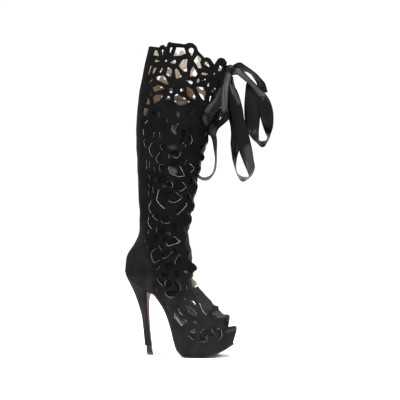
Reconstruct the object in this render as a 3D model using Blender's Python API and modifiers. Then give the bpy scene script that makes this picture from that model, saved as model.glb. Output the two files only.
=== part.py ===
"""Right knee-high platform boot with a cut-out shaft, laced up the front with ribbon.

Frame: metres, +X to the toe, +Y to the inner side of the foot, +Z up. The origin lies on the floor
under the flat of the forefoot. The tables are in millimetres, seen from the side.
"""

from collections import namedtuple
from functools import lru_cache
from itertools import combinations

import bmesh
import bpy
import numpy as np
from mathutils import Matrix, Vector

MM = 0.001

# Driving sizes, in millimetres
LENGTH_FACTOR = 1.02        # the tables' lengths along X are taken at this factor
WALL = 2.2                  # suede with its leather lining
FIT = 0.3                   # gap between pieces that meet
UPPER_COLUMNS = 24          # facets around one section of the upper
SOLE_THICKNESS = 3.0
INSOLE_THICKNESS = 3.0
INSOLE_CLEARANCE = 1.2      # from the upper's facets
INSOLE_RIM = 4.5            # of the platform's rim left bare around it
SEAT_ROUNDING = 0.55        # width of the insole's back end over the seat's
PLATFORM_CLEARANCE = 1.2    # from the upper's facets
PLATFORM_HEIGHTS = 4        # points up each side of the platform
SOLE_CHAMFER = 1.0
FLAT_LIMIT = 0.6            # the sole's underside below this height lies flat on the floor
RIBBON_WIDTH = 24.0
RIBBON_THICKNESS = 0.9
LACE_WIDTH = 19.0
LACE_RISE = 0.4             # inner face of the lacing over the upper
LACE_THICKNESS = 1.2
LACE_BULGE = 3.0            # extra rise where the two strands cross
LACE_STEPS = 4

BOOT_COLLECTION = "cut_out_platform_boot"
CUTTER_COLLECTION = "cutters"

# Sections of the last, from the peep toe over the ankle to the collar. Each lies in a plane across
# the side view, from its ridge (front) to its base (sole edge, then back seam).
Section = namedtuple("Section", "ridge_x ridge_z base_x base_z half_width base_half_width "
                     "widest_at crown swing bed_height")
SECTION_ROWS = (
    (55.0, 80.5, 55, 15.9, 31.0, 27.0, 0.57, 2.2, 4.0, 35.0),
    (43.0, 92.5, 39, 8.4, 38.0, 33.0, 0.60, 2.2, 3.0, 40.6),
    (28.0, 104.5, 21, 3.4, 43.0, 38.0, 0.62, 2.1, 1.5, 44.2),
    (10.0, 124, 2, 3.3, 44.5, 39.0, 0.62, 2.0, 0.0, 44.7),
    (0.0, 138, -14, 3.3, 43.0, 36.0, 0.60, 1.9, -1.0, 49.0),
    (-5.0, 151, -27.1, 14.4, 41.5, 32.0, 0.57, 1.9, -2.0, 47.0),
    (-8.5, 165, -34.0, 31.3, 39.5, 29.0, 0.54, 1.9, -2.0, 39.5),
    (-10.0, 180, -42.0, 60.9, 37.5, 27.0, 0.52, 1.9, -2.0, 21.0),
    (-11.0, 192, -53.5, 90.1, 36.0, 25.5, 0.50, 2.0, -1.5, 9.0),
    (-13.0, 205, -69.5, 114.3, 35.0, 25.5, 0.50, 2.0, -1.0, 2.0),
    (-14.0, 211, -77.8, 121.9, 34.7, 26.0, 0.50, 2.0, -0.8, 0.6),
    (-15.0, 217, -91.5, 126.6, 34.5, 26.5, 0.50, 2.0, -0.5, 0.6),
    (-16.5, 229, -115, 142.2, 34.5, 26.0, 0.50, 2.0, 0.0, 0.6),
    (-16.6, 233, -127, 150.2, 34.5, 19.5, 0.50, 2.0, 0.0, 0.6),
    (-16.4, 236.5, -133, 154.2, 34.7, 12.5, 0.50, 2.0, 0.0, 0.6),
    (-16.0, 240, -137, 157, 35.0, 0.0, 0.50, 2.0, 0.0, 0.0),
    (-14.5, 255, -136.5, 172, 35.5, 0.0, 0.50, 2.0, 0.0, 0.0),
    (-12.0, 270, -132, 192, 36.5, 0.0, 0.50, 2.0, 0.0, 0.0),
    (-9.0, 285, -118.5, 214, 38.0, 0.0, 0.50, 2.0, 0.0, 0.0),
    (-6.0, 305, -109, 238, 40.0, 0.0, 0.50, 2.0, 0.0, 0.0),
    (-2.0, 325, -107.5, 270, 42.5, 0.0, 0.50, 2.0, 0.0, 0.0),
    (3.0, 350, -110, 310, 46.0, 0.0, 0.50, 2.0, 0.0, 0.0),
    (10.0, 380, -111.5, 350, 50.0, 0.0, 0.50, 2.0, 0.0, 0.0),
    (20.0, 415, -113.0, 395, 54.0, 0.0, 0.52, 2.0, 0.0, 0.0),
    (31.0, 450, -114.0, 435, 57.0, 0.0, 0.53, 2.0, 0.0, 0.0),
    (41.0, 490, -111.5, 480, 58.5, 0.0, 0.54, 2.0, 0.0, 0.0),
    (50.0, 530, -104.5, 525, 58.5, 0.0, 0.54, 2.0, 0.0, 0.0),
    (59.0, 570, -95.5, 570, 58.0, 0.0, 0.53, 2.0, 0.0, 0.0),
    (65.0, 600, -88, 600, 57.0, 0.0, 0.52, 2.0, 0.0, 0.0),
)
SECTION_TABLE = np.array(SECTION_ROWS, dtype=float)
SECTION_TABLE[:, [0, 2]] *= LENGTH_FACTOR
LAST_STATION = len(SECTION_ROWS) - 1
FIRST_CLOSED_STATION = 15
PLATFORM_END_STATION = 9
SOLE_END_STATION = 10
SEAT_END_STATION = 14

# Front end of platform and outsole, past the peep toe: the platform's rim and its base on the sole.
ToeRow = namedtuple("ToeRow", "rim_x rim_z base_x base_z half_width swing")
TOE_ROWS = (
    ToeRow(61.5, 52.0, 58.7, 18.3, 28.5, 4.2),
    ToeRow(68.0, 53.5, 63.0, 21.1, 23.5, 4.5),
    ToeRow(73.5, 55.0, 66.5, 23.6, 16.0, 4.8),
    ToeRow(77.0, 56.0, 68.5, 25.2, 8.5, 5.0),
    ToeRow(78.5, 56.2, 69.9, 26.3, 3.0, 5.0),
)

# The flap: where the outsole turns down the front of the heel. Its rear face and its front face.
FlapRow = namedtuple("FlapRow", "rear_x rear_z front_x front_z half_width")
FLAP_ROWS = (
    FlapRow(-90.0, 124.6, -88.9, 121.6, 26.4),
    FlapRow(-92.6, 118.5, -90.9, 118.0, 17.0),
    FlapRow(-94.1, 108.0, -92.6, 108.0, 11.0),
    FlapRow(-94.4, 98.0, -92.9, 98.0, 9.6),
    FlapRow(-94.1, 88.0, -92.6, 88.0, 8.8),
    FlapRow(-93.3, 73.0, -91.8, 73.0, 7.2),
    FlapRow(-91.0, 47.0, -89.5, 47.0, 5.7),
    FlapRow(-87.6, 18.2, -86.2, 18.2, 5.0),
)

# Heel: back point, front point and half width of each cross-section, top to bottom.
HeelRow = namedtuple("HeelRow", "back_x back_z front_x front_z half_width")
HEEL_ROWS = (
    HeelRow(-137.0, 156.2, -91.0, 125.2, 27.5),
    HeelRow(-133.5, 148.0, -93.0, 118.0, 22.0),
    HeelRow(-127.0, 135.0, -94.5, 108.0, 17.0),
    HeelRow(-119.5, 119.0, -94.8, 98.0, 13.5),
    HeelRow(-112.3, 98.6, -94.5, 88.0, 10.5),
    HeelRow(-106.0, 76.0, -93.7, 73.0, 7.5),
    HeelRow(-102.3, 47.0, -91.4, 47.0, 6.0),
    HeelRow(-99.6, 18.2, -87.6, 18.2, 5.3),
)
HEEL_TIP_ROWS = (
    HeelRow(-96.9, 17.9, -86.0, 17.9, 4.6),
    HeelRow(-96.1, 8.0, -84.8, 8.0, 4.8),
    HeelRow(-95.0, 0.0, -83.8, 0.0, 5.1),
)
HEEL_ROUNDNESS = 2.6
HEEL_SIDE_POINTS = 7

# Top line of the shaft seen from the side: petals with notches between them.
COLLAR_LINE = (
    (-100, 588), (-70, 590), (-62, 594), (-56, 595.5), (-51, 593.5), (-49, 590), (-47, 596),
    (-44, 598.5), (-40, 598.4), (-13, 595), (-5, 598), (4, 595.5), (12, 582), (22, 570),
    (27, 570.5), (33, 566), (38, 555), (44, 566), (54, 569.6), (61, 565), (68, 549),
)
# Half gap of the throat at each height, from its rounded foot to the collar.
THROAT_GAP = (
    (134, 0.0), (136, 4.5), (141, 7.5), (160, 8.5), (230, 8.5), (300, 9.5), (380, 11.0),
    (450, 12.5), (510, 15.0), (550, 18.0), (600, 22.0),
)
THROAT_REAR_X = -42.0       # the throat's cutter reaches from here
THROAT_REACH = 150.0        # to past the shin

# Flowers of one side of the shaft and vamp, where their centres lie in the side view. Only the top
# rows, which the light shows through, have petals cut in this solid.
Flower = namedtuple("Flower", "x z radius petals")
FLOWERS = (
    Flower(-56, 560, 29, 8), Flower(-6, 555, 25, 8), Flower(37, 537, 25, 8),
    Flower(-84, 512, 24, 0), Flower(-30, 508, 29, 8), Flower(22, 488, 25, 0),
    Flower(-66, 460, 27, 0), Flower(-9, 447, 27, 0), Flower(-100, 425, 22, 0),
    Flower(-42, 396, 27, 0), Flower(-84, 366, 25, 0), Flower(2, 400, 20, 0),
    Flower(-8, 345, 22, 0), Flower(-66, 318, 24, 0), Flower(-98, 305, 18, 0),
    Flower(-18, 288, 22, 0), Flower(-76, 258, 24, 0), Flower(-34, 246, 20, 0),
    Flower(-100, 226, 18, 0), Flower(-56, 196, 22, 0), Flower(-22, 196, 16, 0),
    Flower(-62, 148, 22, 0), Flower(-28, 122, 22, 0), Flower(-44, 102, 16, 0),
    Flower(12, 92, 20, 0), Flower(22, 62, 18, 0), Flower(-8, 66, 14, 0),
)
GAP_REACH = 92.0            # flowers this near to each other leave a cut-out between them
GAP_OVER_PETALS = 9.0       # a cut-out bites this far in between their petals
SMALLEST_GAP = 4.5          # radii
LARGEST_GAP = 11.0
HOLE_BRIDGE = 3.0           # least suede between two holes
PETAL_HOLE_FROM = 0.42      # a petal's hole runs between these shares of the flower's radius
PETAL_HOLE_TO = 0.86
PETAL_HOLE_WIDTH = 6.4
CUTTER_DEPTH = 12.0

# The largest cut-outs between the flowers, in the side view, with their radii and turn.
CutOut = namedtuple("CutOut", "x z along up turn")
CUT_OUTS = (
    CutOut(-32, 352, 14, 10, -0.2), CutOut(-37, 304, 13, 11, 0.2), CutOut(-82, 194, 9, 13, 0.3),
    CutOut(-46, 221, 14, 8, 0.4), CutOut(-39, 428, 8, 10, 0.5), CutOut(-33, 462, 6, 9, 0.0),
    CutOut(-3, 92, 9, 12, -0.5), CutOut(-25, 74, 12, 10, -0.6), CutOut(-4, 50, 6, 5, 0.0),
    CutOut(13, 51, 6, 5, 0.3), CutOut(34, 44, 7, 5, 0.2), CutOut(-45, 162, 9, 11, 0.2),
    CutOut(-28, 155, 7, 9, 0.0), CutOut(-46, 124, 7, 8, 0.4), CutOut(31, 78, 6, 5, 0.0),
)

# Ribbon: heights of the eyelets up the throat.
EYELET_HEIGHTS = (152, 180, 210, 240, 272, 306, 342, 382, 424, 466, 506)
EYELET_INSET = 8.0          # from the throat's edge to the eyelet
KNOT_CENTRE = (64.0, 0.0, 547.0)
KNOT_SIZE = (29.0, 20.0, 21.0)
KNOT_GAP = 0.9              # between the knot and the ribbons that leave it
GATHERED_WIDTH = 7.0        # of a ribbon where it leaves the knot

# Routes of the free ribbons: a point of the centre line, the direction across the ribbon and the
# width it shows there.
RibbonPoint = namedtuple("RibbonPoint", "x y z across_x across_y across_z width")


def knot_exit(direction, across):
    """Where a gathered ribbon leaves the knot in this direction."""
    radii = np.array(KNOT_SIZE) / 2
    unit = np.array(direction) / np.linalg.norm(direction)
    point = (KNOT_CENTRE + unit * (radii + KNOT_GAP)) / (LENGTH_FACTOR, 1.0, 1.0)
    return RibbonPoint(*point, *across, GATHERED_WIDTH)


LOOP_SHORT_ROUTE = (
    knot_exit((1.0, -0.5, -0.3), (0.0, -0.6, -0.8)), RibbonPoint(84, -6, 542, -0.1, -0.8, -0.6, 18),
    RibbonPoint(92, -7, 535, -0.2, -0.8, -0.5, 22), RibbonPoint(101, -8, 526, -0.2, -0.9, -0.4, 24),
    RibbonPoint(116, -8, 510, -0.3, -0.9, -0.3, 24), RibbonPoint(124, -9, 501, -0.5, -0.8, -0.3, 24),
    RibbonPoint(129, -10, 491, -0.8, -0.5, -0.2, 24), RibbonPoint(132, -10, 480, -1.0, -0.2, -0.2, 24),
    RibbonPoint(135, -10, 466, -1.0, 0.0, -0.1, 24), RibbonPoint(137, -10, 452, -1.0, 0.2, 0.1, 24),
    RibbonPoint(138, -8, 438, -0.9, 0.4, 0.2, 24), RibbonPoint(138, -5, 422, -0.5, 0.8, 0.2, 24),
    RibbonPoint(135, -2, 410, -0.2, 0.9, 0.2, 24), RibbonPoint(127, 0, 405, -0.1, 0.9, 0.4, 24),
    RibbonPoint(118, 3, 411, 0.1, 0.9, 0.3, 24), RibbonPoint(112, 6, 422, 0.5, 0.8, 0.3, 24),
    RibbonPoint(107, 10, 440, 0.9, 0.3, 0.2, 24), RibbonPoint(106, 12, 460, 1.0, 0.1, 0.1, 24),
    RibbonPoint(105, 12, 485, 1.0, 0.1, 0.0, 24), RibbonPoint(107, 12, 502, 1.0, 0.2, -0.2, 24),
    RibbonPoint(113, 13, 516, 0.9, -0.1, -0.3, 24), RibbonPoint(114, 13, 530, 0.7, -0.7, 0.1, 22),
    RibbonPoint(107, 12, 541, 0.4, -0.8, 0.3, 21), RibbonPoint(98, 11, 548, 0.3, -0.9, 0.3, 20),
    RibbonPoint(87, 8, 554, 0.2, -0.8, 0.4, 18), knot_exit((0.8, 0.6, 0.75), (0.1, -0.7, 0.7)),
)
LOOP_LONG_ROUTE = (
    knot_exit((0.3, -0.55, -1.0), (0.9, 0.2, -0.2)), RibbonPoint(71, -15, 520, 0.9, 0.4, 0.0, 13),
    RibbonPoint(74, -19, 505, 0.9, 0.3, 0.1, 19), RibbonPoint(77, -20, 488, 1.0, 0.2, 0.1, 24),
    RibbonPoint(81, -20, 468, 1.0, 0.1, 0.1, 24), RibbonPoint(84, -20, 451, 1.0, 0.0, 0.1, 24),
    RibbonPoint(90, -20, 431, 1.0, 0.0, 0.1, 24), RibbonPoint(95, -20, 410, 1.0, 0.0, 0.1, 24),
    RibbonPoint(99, -20, 391, 1.0, 0.0, 0.2, 24), RibbonPoint(104, -20, 372, 0.9, 0.3, 0.1, 24),
    RibbonPoint(107, -18, 358, 0.5, 0.8, 0.1, 24), RibbonPoint(106, -17, 346, 0.1, 1.0, 0.0, 24),
    RibbonPoint(99, -15, 339, -0.1, 1.0, -0.2, 24), RibbonPoint(90, -13, 339, -0.1, 0.9, -0.4, 24),
    RibbonPoint(81, -11, 350, -0.2, 1.0, -0.2, 24), RibbonPoint(76, -9, 368, -0.4, 0.9, -0.1, 24),
    RibbonPoint(75, -6, 384, -0.7, 0.7, -0.1, 24), RibbonPoint(77, -5, 404, -1.0, 0.2, 0.0, 24),
    RibbonPoint(79, -5, 423, -1.0, 0.0, 0.0, 24), RibbonPoint(75, -5, 452, -1.0, 0.0, 0.0, 22),
    RibbonPoint(72, -4, 473, -1.0, 0.0, 0.0, 20), RibbonPoint(71, -3, 498, -1.0, 0.0, 0.0, 16),
    RibbonPoint(69, -3, 522, -1.0, 0.0, 0.0, 10), knot_exit((0.45, -0.2, -1.0), (-1.0, 0.0, 0.0)),
)
TAIL_ROUTE = (
    knot_exit((0.15, -1.0, -0.65), (0.95, 0.0, 0.15)), RibbonPoint(62, -18, 526, 1.0, -0.3, 0.0, 11),
    RibbonPoint(60, -25, 510, 0.9, -0.4, 0.0, 14), RibbonPoint(60, -31, 493, 0.9, -0.4, 0.0, 14),
    RibbonPoint(61, -34, 475, 0.9, -0.5, 0.0, 14), RibbonPoint(62, -33, 462, 0.9, -0.4, 0.1, 15),
    RibbonPoint(60, -30, 452, 0.7, -0.3, -0.6, 15), RibbonPoint(53, -26, 446, 0.3, -0.4, -0.8, 16),
    RibbonPoint(44, -23, 439, 0.3, -0.5, -0.8, 17), RibbonPoint(39, -21, 427, 0.7, -0.6, -0.3, 20),
    RibbonPoint(39, -17, 412, 0.6, -0.8, -0.1, 22), RibbonPoint(39, -14, 395, 0.5, -0.9, -0.1, 22),
    RibbonPoint(40, -12, 375, 0.4, -0.9, 0.0, 23), RibbonPoint(38, -11, 357, 0.4, -0.9, -0.1, 24),
    RibbonPoint(33, -10, 346, 0.3, -0.9, -0.1, 24), RibbonPoint(26, -9, 340, 0.2, -0.9, -0.2, 24),
    RibbonPoint(18, -8, 339, 0.2, -0.9, -0.3, 22), RibbonPoint(12, -8, 341, 0.1, -1.0, -0.2, 21),
)
LEAD_OUTER_ROUTE = (
    RibbonPoint(21, -29, 443, -0.5, -0.8, -0.2, 10), RibbonPoint(25, -33, 449, -0.7, -0.5, 0.4, 13),
    RibbonPoint(30, -34, 457, -0.7, -0.1, 0.7, 16), RibbonPoint(37, -31, 468, -0.7, 0.1, 0.7, 18),
    RibbonPoint(45, -26, 479, -0.7, 0.2, 0.6, 18), RibbonPoint(52, -21, 490, -0.8, 0.2, 0.5, 18),
    RibbonPoint(55, -18, 505, -0.9, 0.3, 0.3, 17), RibbonPoint(54, -14, 521, -1.0, 0.2, 0.1, 13),
    RibbonPoint(52, -11, 533, -0.9, 0.3, 0.0, 8), knot_exit((-0.8, -1.0, -0.4), (-0.8, 0.5, 0.1)),
)
# From the top eyelet to the knot, on the inner side of the boot: height, distance across, rise over
# the upper's front and width.
LEAD_INNER_PLACES = ((509, 19.5, 4.0, 22), (519, 18.5, 5.0, 17), (529, 17.5, 6.2, 12))
LEAD_INNER_EXIT = (-0.75, 1.0, -0.35)
LEAD_INNER_ACROSS = (0.8, 0.6, 0.0)
RIBBON_STEP = 9.0           # between the cross-sections of a free ribbon
ROUTE_STEPS = 12            # between two points of a route, before it is spaced evenly

# name: base colour, roughness, metallic
MATERIALS = {
    "black_suede": ((0.012, 0.012, 0.013), 0.95, 0.0),
    "platform_suede": ((0.014, 0.014, 0.015), 0.95, 0.0),
    "rose_leather": ((0.32, 0.10, 0.12), 0.55, 0.0),
    "nude_leather": ((0.50, 0.34, 0.24), 0.60, 0.0),
    "heel_suede": ((0.013, 0.013, 0.014), 0.95, 0.0),
    "black_gloss": ((0.015, 0.015, 0.015), 0.20, 0.0),
    "black_satin": ((0.030, 0.030, 0.033), 0.35, 0.0),
}


# ---------------------------------------------------------------------------------- scene helpers

def clear_scene():
    for item in list(bpy.data.objects):
        bpy.data.objects.remove(item, do_unlink=True)


def new_collection(name):
    collection = bpy.data.collections.new(name)
    bpy.context.scene.collection.children.link(collection)
    return collection


def new_material(name):
    colour, roughness, metallic = MATERIALS[name]
    material = bpy.data.materials.new(name)
    material.use_nodes = True
    shader = material.node_tree.nodes["Principled BSDF"]
    shader.inputs["Base Color"].default_value = (*colour, 1.0)
    shader.inputs["Roughness"].default_value = roughness
    shader.inputs["Metallic"].default_value = metallic
    material.diffuse_color = (*colour, 1.0)
    return material


def new_object(name, mesh, collection, material=None):
    item = bpy.data.objects.new(name, mesh)
    collection.objects.link(item)
    if material:
        mesh.materials.append(new_material(material))
    return item


def finished_mesh(name, bm):
    """Write the bmesh with its faces pointing out."""
    bmesh.ops.recalc_face_normals(bm, faces=bm.faces)
    mesh = bpy.data.meshes.new(name)
    bm.to_mesh(mesh)
    bm.free()
    return mesh


def as_cutter(item):
    item.hide_render = True
    item.display_type = "WIRE"
    return item


def add_boolean(item, other, operation):
    modifier = item.modifiers.new(f"{operation.lower()} {other.name}", "BOOLEAN")
    modifier.operation = operation
    modifier.object = other
    modifier.solver = "EXACT"
    return modifier


def add_loft(bm, rings):
    """A closed solid through rings of equally many points, with a flat cap at each end."""
    rows = [[bm.verts.new(np.array(point) * MM) for point in ring] for ring in rings]
    for ring, following in zip(rows, rows[1:]):
        for k in range(len(ring)):
            after = (k + 1) % len(ring)
            bm.faces.new((ring[k], ring[after], following[after], following[k]))
    bm.faces.new(rows[0])
    bm.faces.new(rows[-1])


def loft(name, rings, collection, material):
    bm = bmesh.new()
    add_loft(bm, rings)
    return new_object(name, finished_mesh(name, bm), collection, material)


def add_sheet(bm, rows):
    """An open surface through rows of equally many points."""
    rows = [[bm.verts.new(np.array(point) * MM) for point in row] for row in rows]
    for row, above in zip(rows, rows[1:]):
        for k in range(len(row) - 1):
            bm.faces.new((row[k], row[k + 1], above[k + 1], above[k]))


def walled_object(name, bm, thickness, offset, collection, material):
    """An open surface given its thickness: inwards at offset -1, to both sides at 0."""
    mesh = bpy.data.meshes.new(name)
    bm.to_mesh(mesh)
    bm.free()
    item = new_object(name, mesh, collection, material)
    wall = item.modifiers.new("wall", "SOLIDIFY")
    wall.thickness = thickness * MM
    wall.offset = offset
    wall.use_quality_normals = True
    return item


def prism(name, outline, push, collection):
    """A flat outline pushed along a vector: a cutter."""
    bm = bmesh.new()
    face = bm.faces.new([bm.verts.new(np.array(point) * MM) for point in outline])
    grown = bmesh.ops.extrude_face_region(bm, geom=[face])
    moved = [part for part in grown["geom"] if isinstance(part, bmesh.types.BMVert)]
    bmesh.ops.translate(bm, verts=moved, vec=np.array(push) * MM)
    return as_cutter(new_object(name, finished_mesh(name, bm), collection))


# ------------------------------------------------------------------------- the last's own surface

@lru_cache(maxsize=4096)
def section_at(station):
    """The section table read at a fractional station, on a smooth curve through its rows."""
    low = int(min(max(station, 0), LAST_STATION - 1e-9))
    t = station - low
    a, b, c, d = (SECTION_TABLE[min(max(low + k, 0), LAST_STATION)] for k in (-1, 0, 1, 2))
    slope = (c - a) * t
    square = (2 * a - 5 * b + 4 * c - d) * t ** 2
    cube = (3 * b - a - 3 * c + d) * t ** 3
    section = Section(*(0.5 * (2 * b + slope + square + cube)))
    base_half_width = max(section.base_half_width, 0.0)
    if station >= FIRST_CLOSED_STATION:
        base_half_width = 0.0
    return section._replace(base_half_width=base_half_width)


def section_depth(section):
    return float(np.hypot(section.base_x - section.ridge_x, section.base_z - section.ridge_z))


@lru_cache(maxsize=4096)
def half_outline(station, steps=40):
    """Depth below the ridge, half width and arc length along one side of a section."""
    section = section_at(station)
    depth = section_depth(section)
    crown_depth = section.widest_at * depth
    base_ratio = section.base_half_width / section.half_width
    belly_depth = (depth - crown_depth) / np.sqrt(1 - base_ratio ** 2)
    rise = np.linspace(0, np.pi / 2, steps)
    fall = np.linspace(0, np.arccos(base_ratio), steps)[1:]
    power = 2 / section.crown
    down = np.concatenate((crown_depth * (1 - np.cos(rise) ** power),
                           crown_depth + belly_depth * np.sin(fall)))
    wide = np.concatenate((section.half_width * np.sin(rise) ** power,
                           section.half_width * np.cos(fall)))
    arc = np.concatenate(((0.0,), np.cumsum(np.hypot(np.diff(down), np.diff(wide)))))
    return down, wide, arc


def in_section_plane(station, down, across):
    """The 3-D point of a section's plane at a depth below the ridge and a distance across."""
    section = section_at(station)
    share = down / section_depth(section)
    x = section.ridge_x + (section.base_x - section.ridge_x) * share
    z = section.ridge_z + (section.base_z - section.ridge_z) * share
    return np.array((x, across + section.swing, z))


def upper_point(station, side):
    """A point of the upper's outer surface; side runs from -1 (outer base) over the ridge to 1."""
    down, wide, arc = half_outline(round(station, 4))
    length = abs(side) * arc[-1]
    return in_section_plane(station, np.interp(length, arc, down),
                            np.copysign(np.interp(length, arc, wide), side))


def upper_frame(station, side):
    """Point, direction up the boot, direction around it and outward normal."""
    point = upper_point(station, side)
    up = upper_point(min(station + 0.1, LAST_STATION), side)
    up = up - upper_point(max(station - 0.1, 0), side)
    around = upper_point(station, min(side + 0.02, 1)) - upper_point(station, max(side - 0.02, -1))
    around /= np.linalg.norm(around)
    up -= around * up.dot(around)
    up /= np.linalg.norm(up)
    return point, up, around, np.cross(around, up)


def front_place(height, across):
    """Station and side of the upper's front where it has this height and distance across."""
    stations = np.linspace(3, LAST_STATION, 500)
    heights = [in_section_plane(s, crown_down(s, across), across)[2] for s in stations]
    station = float(np.interp(height, heights, stations))
    down, wide, arc = half_outline(round(station, 4))
    widest = int(np.argmax(wide))
    share = np.interp(abs(across), wide[:widest + 1], arc[:widest + 1]) / arc[-1]
    return station, float(np.copysign(share, across))


def crown_down(station, across):
    """Depth below the ridge at which a section's crown is this far across."""
    down, wide, arc = half_outline(round(float(station), 4))
    widest = int(np.argmax(wide))
    return float(np.interp(abs(across), wide[:widest + 1], down[:widest + 1]))


def inner_outline(station, lowest, highest, count, inset):
    """Points of the upper's inner face between two heights over its base, on one side."""
    down, wide, arc = half_outline(round(station, 4))
    depth = section_depth(section_at(station))
    slope_down = np.gradient(down, arc)
    slope_wide = np.gradient(wide, arc)
    inner_down = down + slope_wide * inset
    inner_wide = wide - slope_down * inset
    targets = depth - np.linspace(lowest, highest, count)
    order = np.argsort(inner_down)
    widths = np.interp(targets, inner_down[order], inner_wide[order])
    return list(zip(targets, widths))


# ------------------------------------------------------------------------------------- the pieces

def make_upper(boot, cutters):
    sides = np.linspace(-1, 1, UPPER_COLUMNS + 1)
    rows = [[upper_point(float(station), side) for side in sides] for station in range(LAST_STATION + 1)]
    bm = bmesh.new()
    add_sheet(bm, rows)
    bmesh.ops.remove_doubles(bm, verts=bm.verts, dist=0.0001)
    upper = walled_object("upper", bm, WALL, -1, boot, "black_suede")
    add_boolean(upper, collar_cutter(cutters), "DIFFERENCE")
    add_boolean(upper, throat_cutter(cutters), "DIFFERENCE")
    add_boolean(upper, lattice_cutter(cutters), "DIFFERENCE")
    return upper


def collar_cutter(cutters):
    width = 80.0
    top = 640.0
    margin = 20.0
    outline = [(x * LENGTH_FACTOR, -width, z) for x, z in COLLAR_LINE]
    outline += [(outline[-1][0] + margin, -width, outline[-1][2]), (outline[-1][0] + margin, -width, top)]
    outline += [(outline[0][0] - margin, -width, top), (outline[0][0] - margin, -width, outline[0][2])]
    return prism("collar_cutter", outline, (0, 2 * width, 0), cutters)


def throat_cutter(cutters):
    right = [(THROAT_REAR_X, gap, z) for z, gap in THROAT_GAP]
    left = [(THROAT_REAR_X, -gap, z) for z, gap in reversed(THROAT_GAP[1:])]
    return prism("throat_cutter", right + left, (THROAT_REACH, 0, 0), cutters)


def throat_half_gap(height):
    return float(np.interp(height, [z for z, gap in THROAT_GAP], [gap for z, gap in THROAT_GAP]))


def side_view_places(points):
    """Station and side share of each point, found where the side view shows it."""
    stations = np.linspace(0, LAST_STATION, 281)
    shares = np.linspace(0.04, 0.97, 94)
    grid = np.array([[upper_point(float(s), -share) for share in shares] for s in stations])
    places = []
    for x, z in points:
        miss = np.hypot(grid[:, :, 0] - x * LENGTH_FACTOR, grid[:, :, 2] - z)
        row, column = np.unravel_index(np.argmin(miss), miss.shape)
        places.append((float(stations[row]), float(shares[column])))
    return places


def add_hole(bm, taken, place, radius_around, radius_up, turn, sides=6):
    """The cutter of one hole: a short column across the wall, unless it would meet another."""
    point, up, around, outward = upper_frame(*place)
    reach = max(radius_around, radius_up)
    if any(np.linalg.norm(point - other) < reach + radius + HOLE_BRIDGE for other, radius in taken):
        return
    taken.append((point, min(radius_around, radius_up)))
    axes = Matrix((around, up, outward)).transposed().to_4x4()
    stand = Matrix.Translation(Vector(point * MM)) @ axes @ Matrix.Rotation(turn, 4, "Z")
    shape = Matrix.Diagonal((radius_around * MM, radius_up * MM, 1.0, 1.0))
    bmesh.ops.create_cone(bm, cap_ends=True, segments=sides, radius1=1.0, radius2=1.0,
                          depth=CUTTER_DEPTH * MM, matrix=stand @ shape)


def lattice_cutter(cutters):
    bm = bmesh.new()
    places = side_view_places([(flower.x, flower.z) for flower in FLOWERS])
    open_places = side_view_places([(hole.x, hole.z) for hole in CUT_OUTS])
    centres = [upper_point(station, -share) for station, share in places]
    for side_sign in (-1, 1):
        taken = []
        for hole, (station, share) in zip(CUT_OUTS, open_places):
            add_hole(bm, taken, (station, side_sign * share), hole.along, hole.up, hole.turn)
        for flower, (station, share) in zip(FLOWERS, places):
            add_petals(bm, taken, flower, station, side_sign * share)
        for trio in combinations(range(len(FLOWERS)), 3):
            add_gap(bm, taken, trio, places, centres, side_sign)
    return as_cutter(new_object("lattice_cutter", finished_mesh("lattice_cutter", bm), cutters))


def add_gap(bm, taken, trio, places, centres, side_sign):
    """The cut-out between three neighbouring flowers, clear of their petals and of the throat."""
    spans = [np.linalg.norm(centres[a] - centres[b]) for a, b in combinations(trio, 2)]
    if max(spans) > GAP_REACH:
        return
    station = sum(places[k][0] for k in trio) / 3
    share = sum(places[k][1] for k in trio) / 3
    point = upper_point(station, -share)
    reach = [np.linalg.norm(point - centres[k]) - FLOWERS[k].radius for k in trio]
    radius = min(min(reach) + GAP_OVER_PETALS, LARGEST_GAP)
    if radius > SMALLEST_GAP:
        place = (station, side_sign * share)
        add_hole(bm, taken, place, radius, radius * 1.15, 0.3 * sum(trio))


def add_petals(bm, taken, flower, station, side):
    """Petal holes around a flower, placed on the surface by walking from its centre."""
    row_height = np.linalg.norm(upper_point(min(station + 0.5, LAST_STATION), side)
                                - upper_point(max(station - 0.5, 0), side))
    girth = half_outline(round(station, 4))[2][-1]
    middle = 0.5 * (PETAL_HOLE_FROM + PETAL_HOLE_TO) * flower.radius
    half_length = 0.5 * (PETAL_HOLE_TO - PETAL_HOLE_FROM) * flower.radius
    for k in range(flower.petals):
        angle = 2 * np.pi * (k + 0.5) / flower.petals
        hole_station = station + np.sin(angle) * middle / row_height
        hole_side = side + np.cos(angle) * middle / girth
        if hole_station < LAST_STATION - 0.2:
            place = (hole_station, hole_side)
            add_hole(bm, taken, place, half_length, PETAL_HOLE_WIDTH / 2, angle, sides=4)


def platform_ring(station, inset):
    """The platform inside the upper, from the sole up to its bed, at one section."""
    wall = inner_outline(station, 0.0, section_at(station).bed_height, PLATFORM_HEIGHTS, inset)
    outer = [in_section_plane(station, down, -width) for down, width in wall]
    inner = [in_section_plane(station, down, width) for down, width in reversed(wall)]
    return outer + inner


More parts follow.
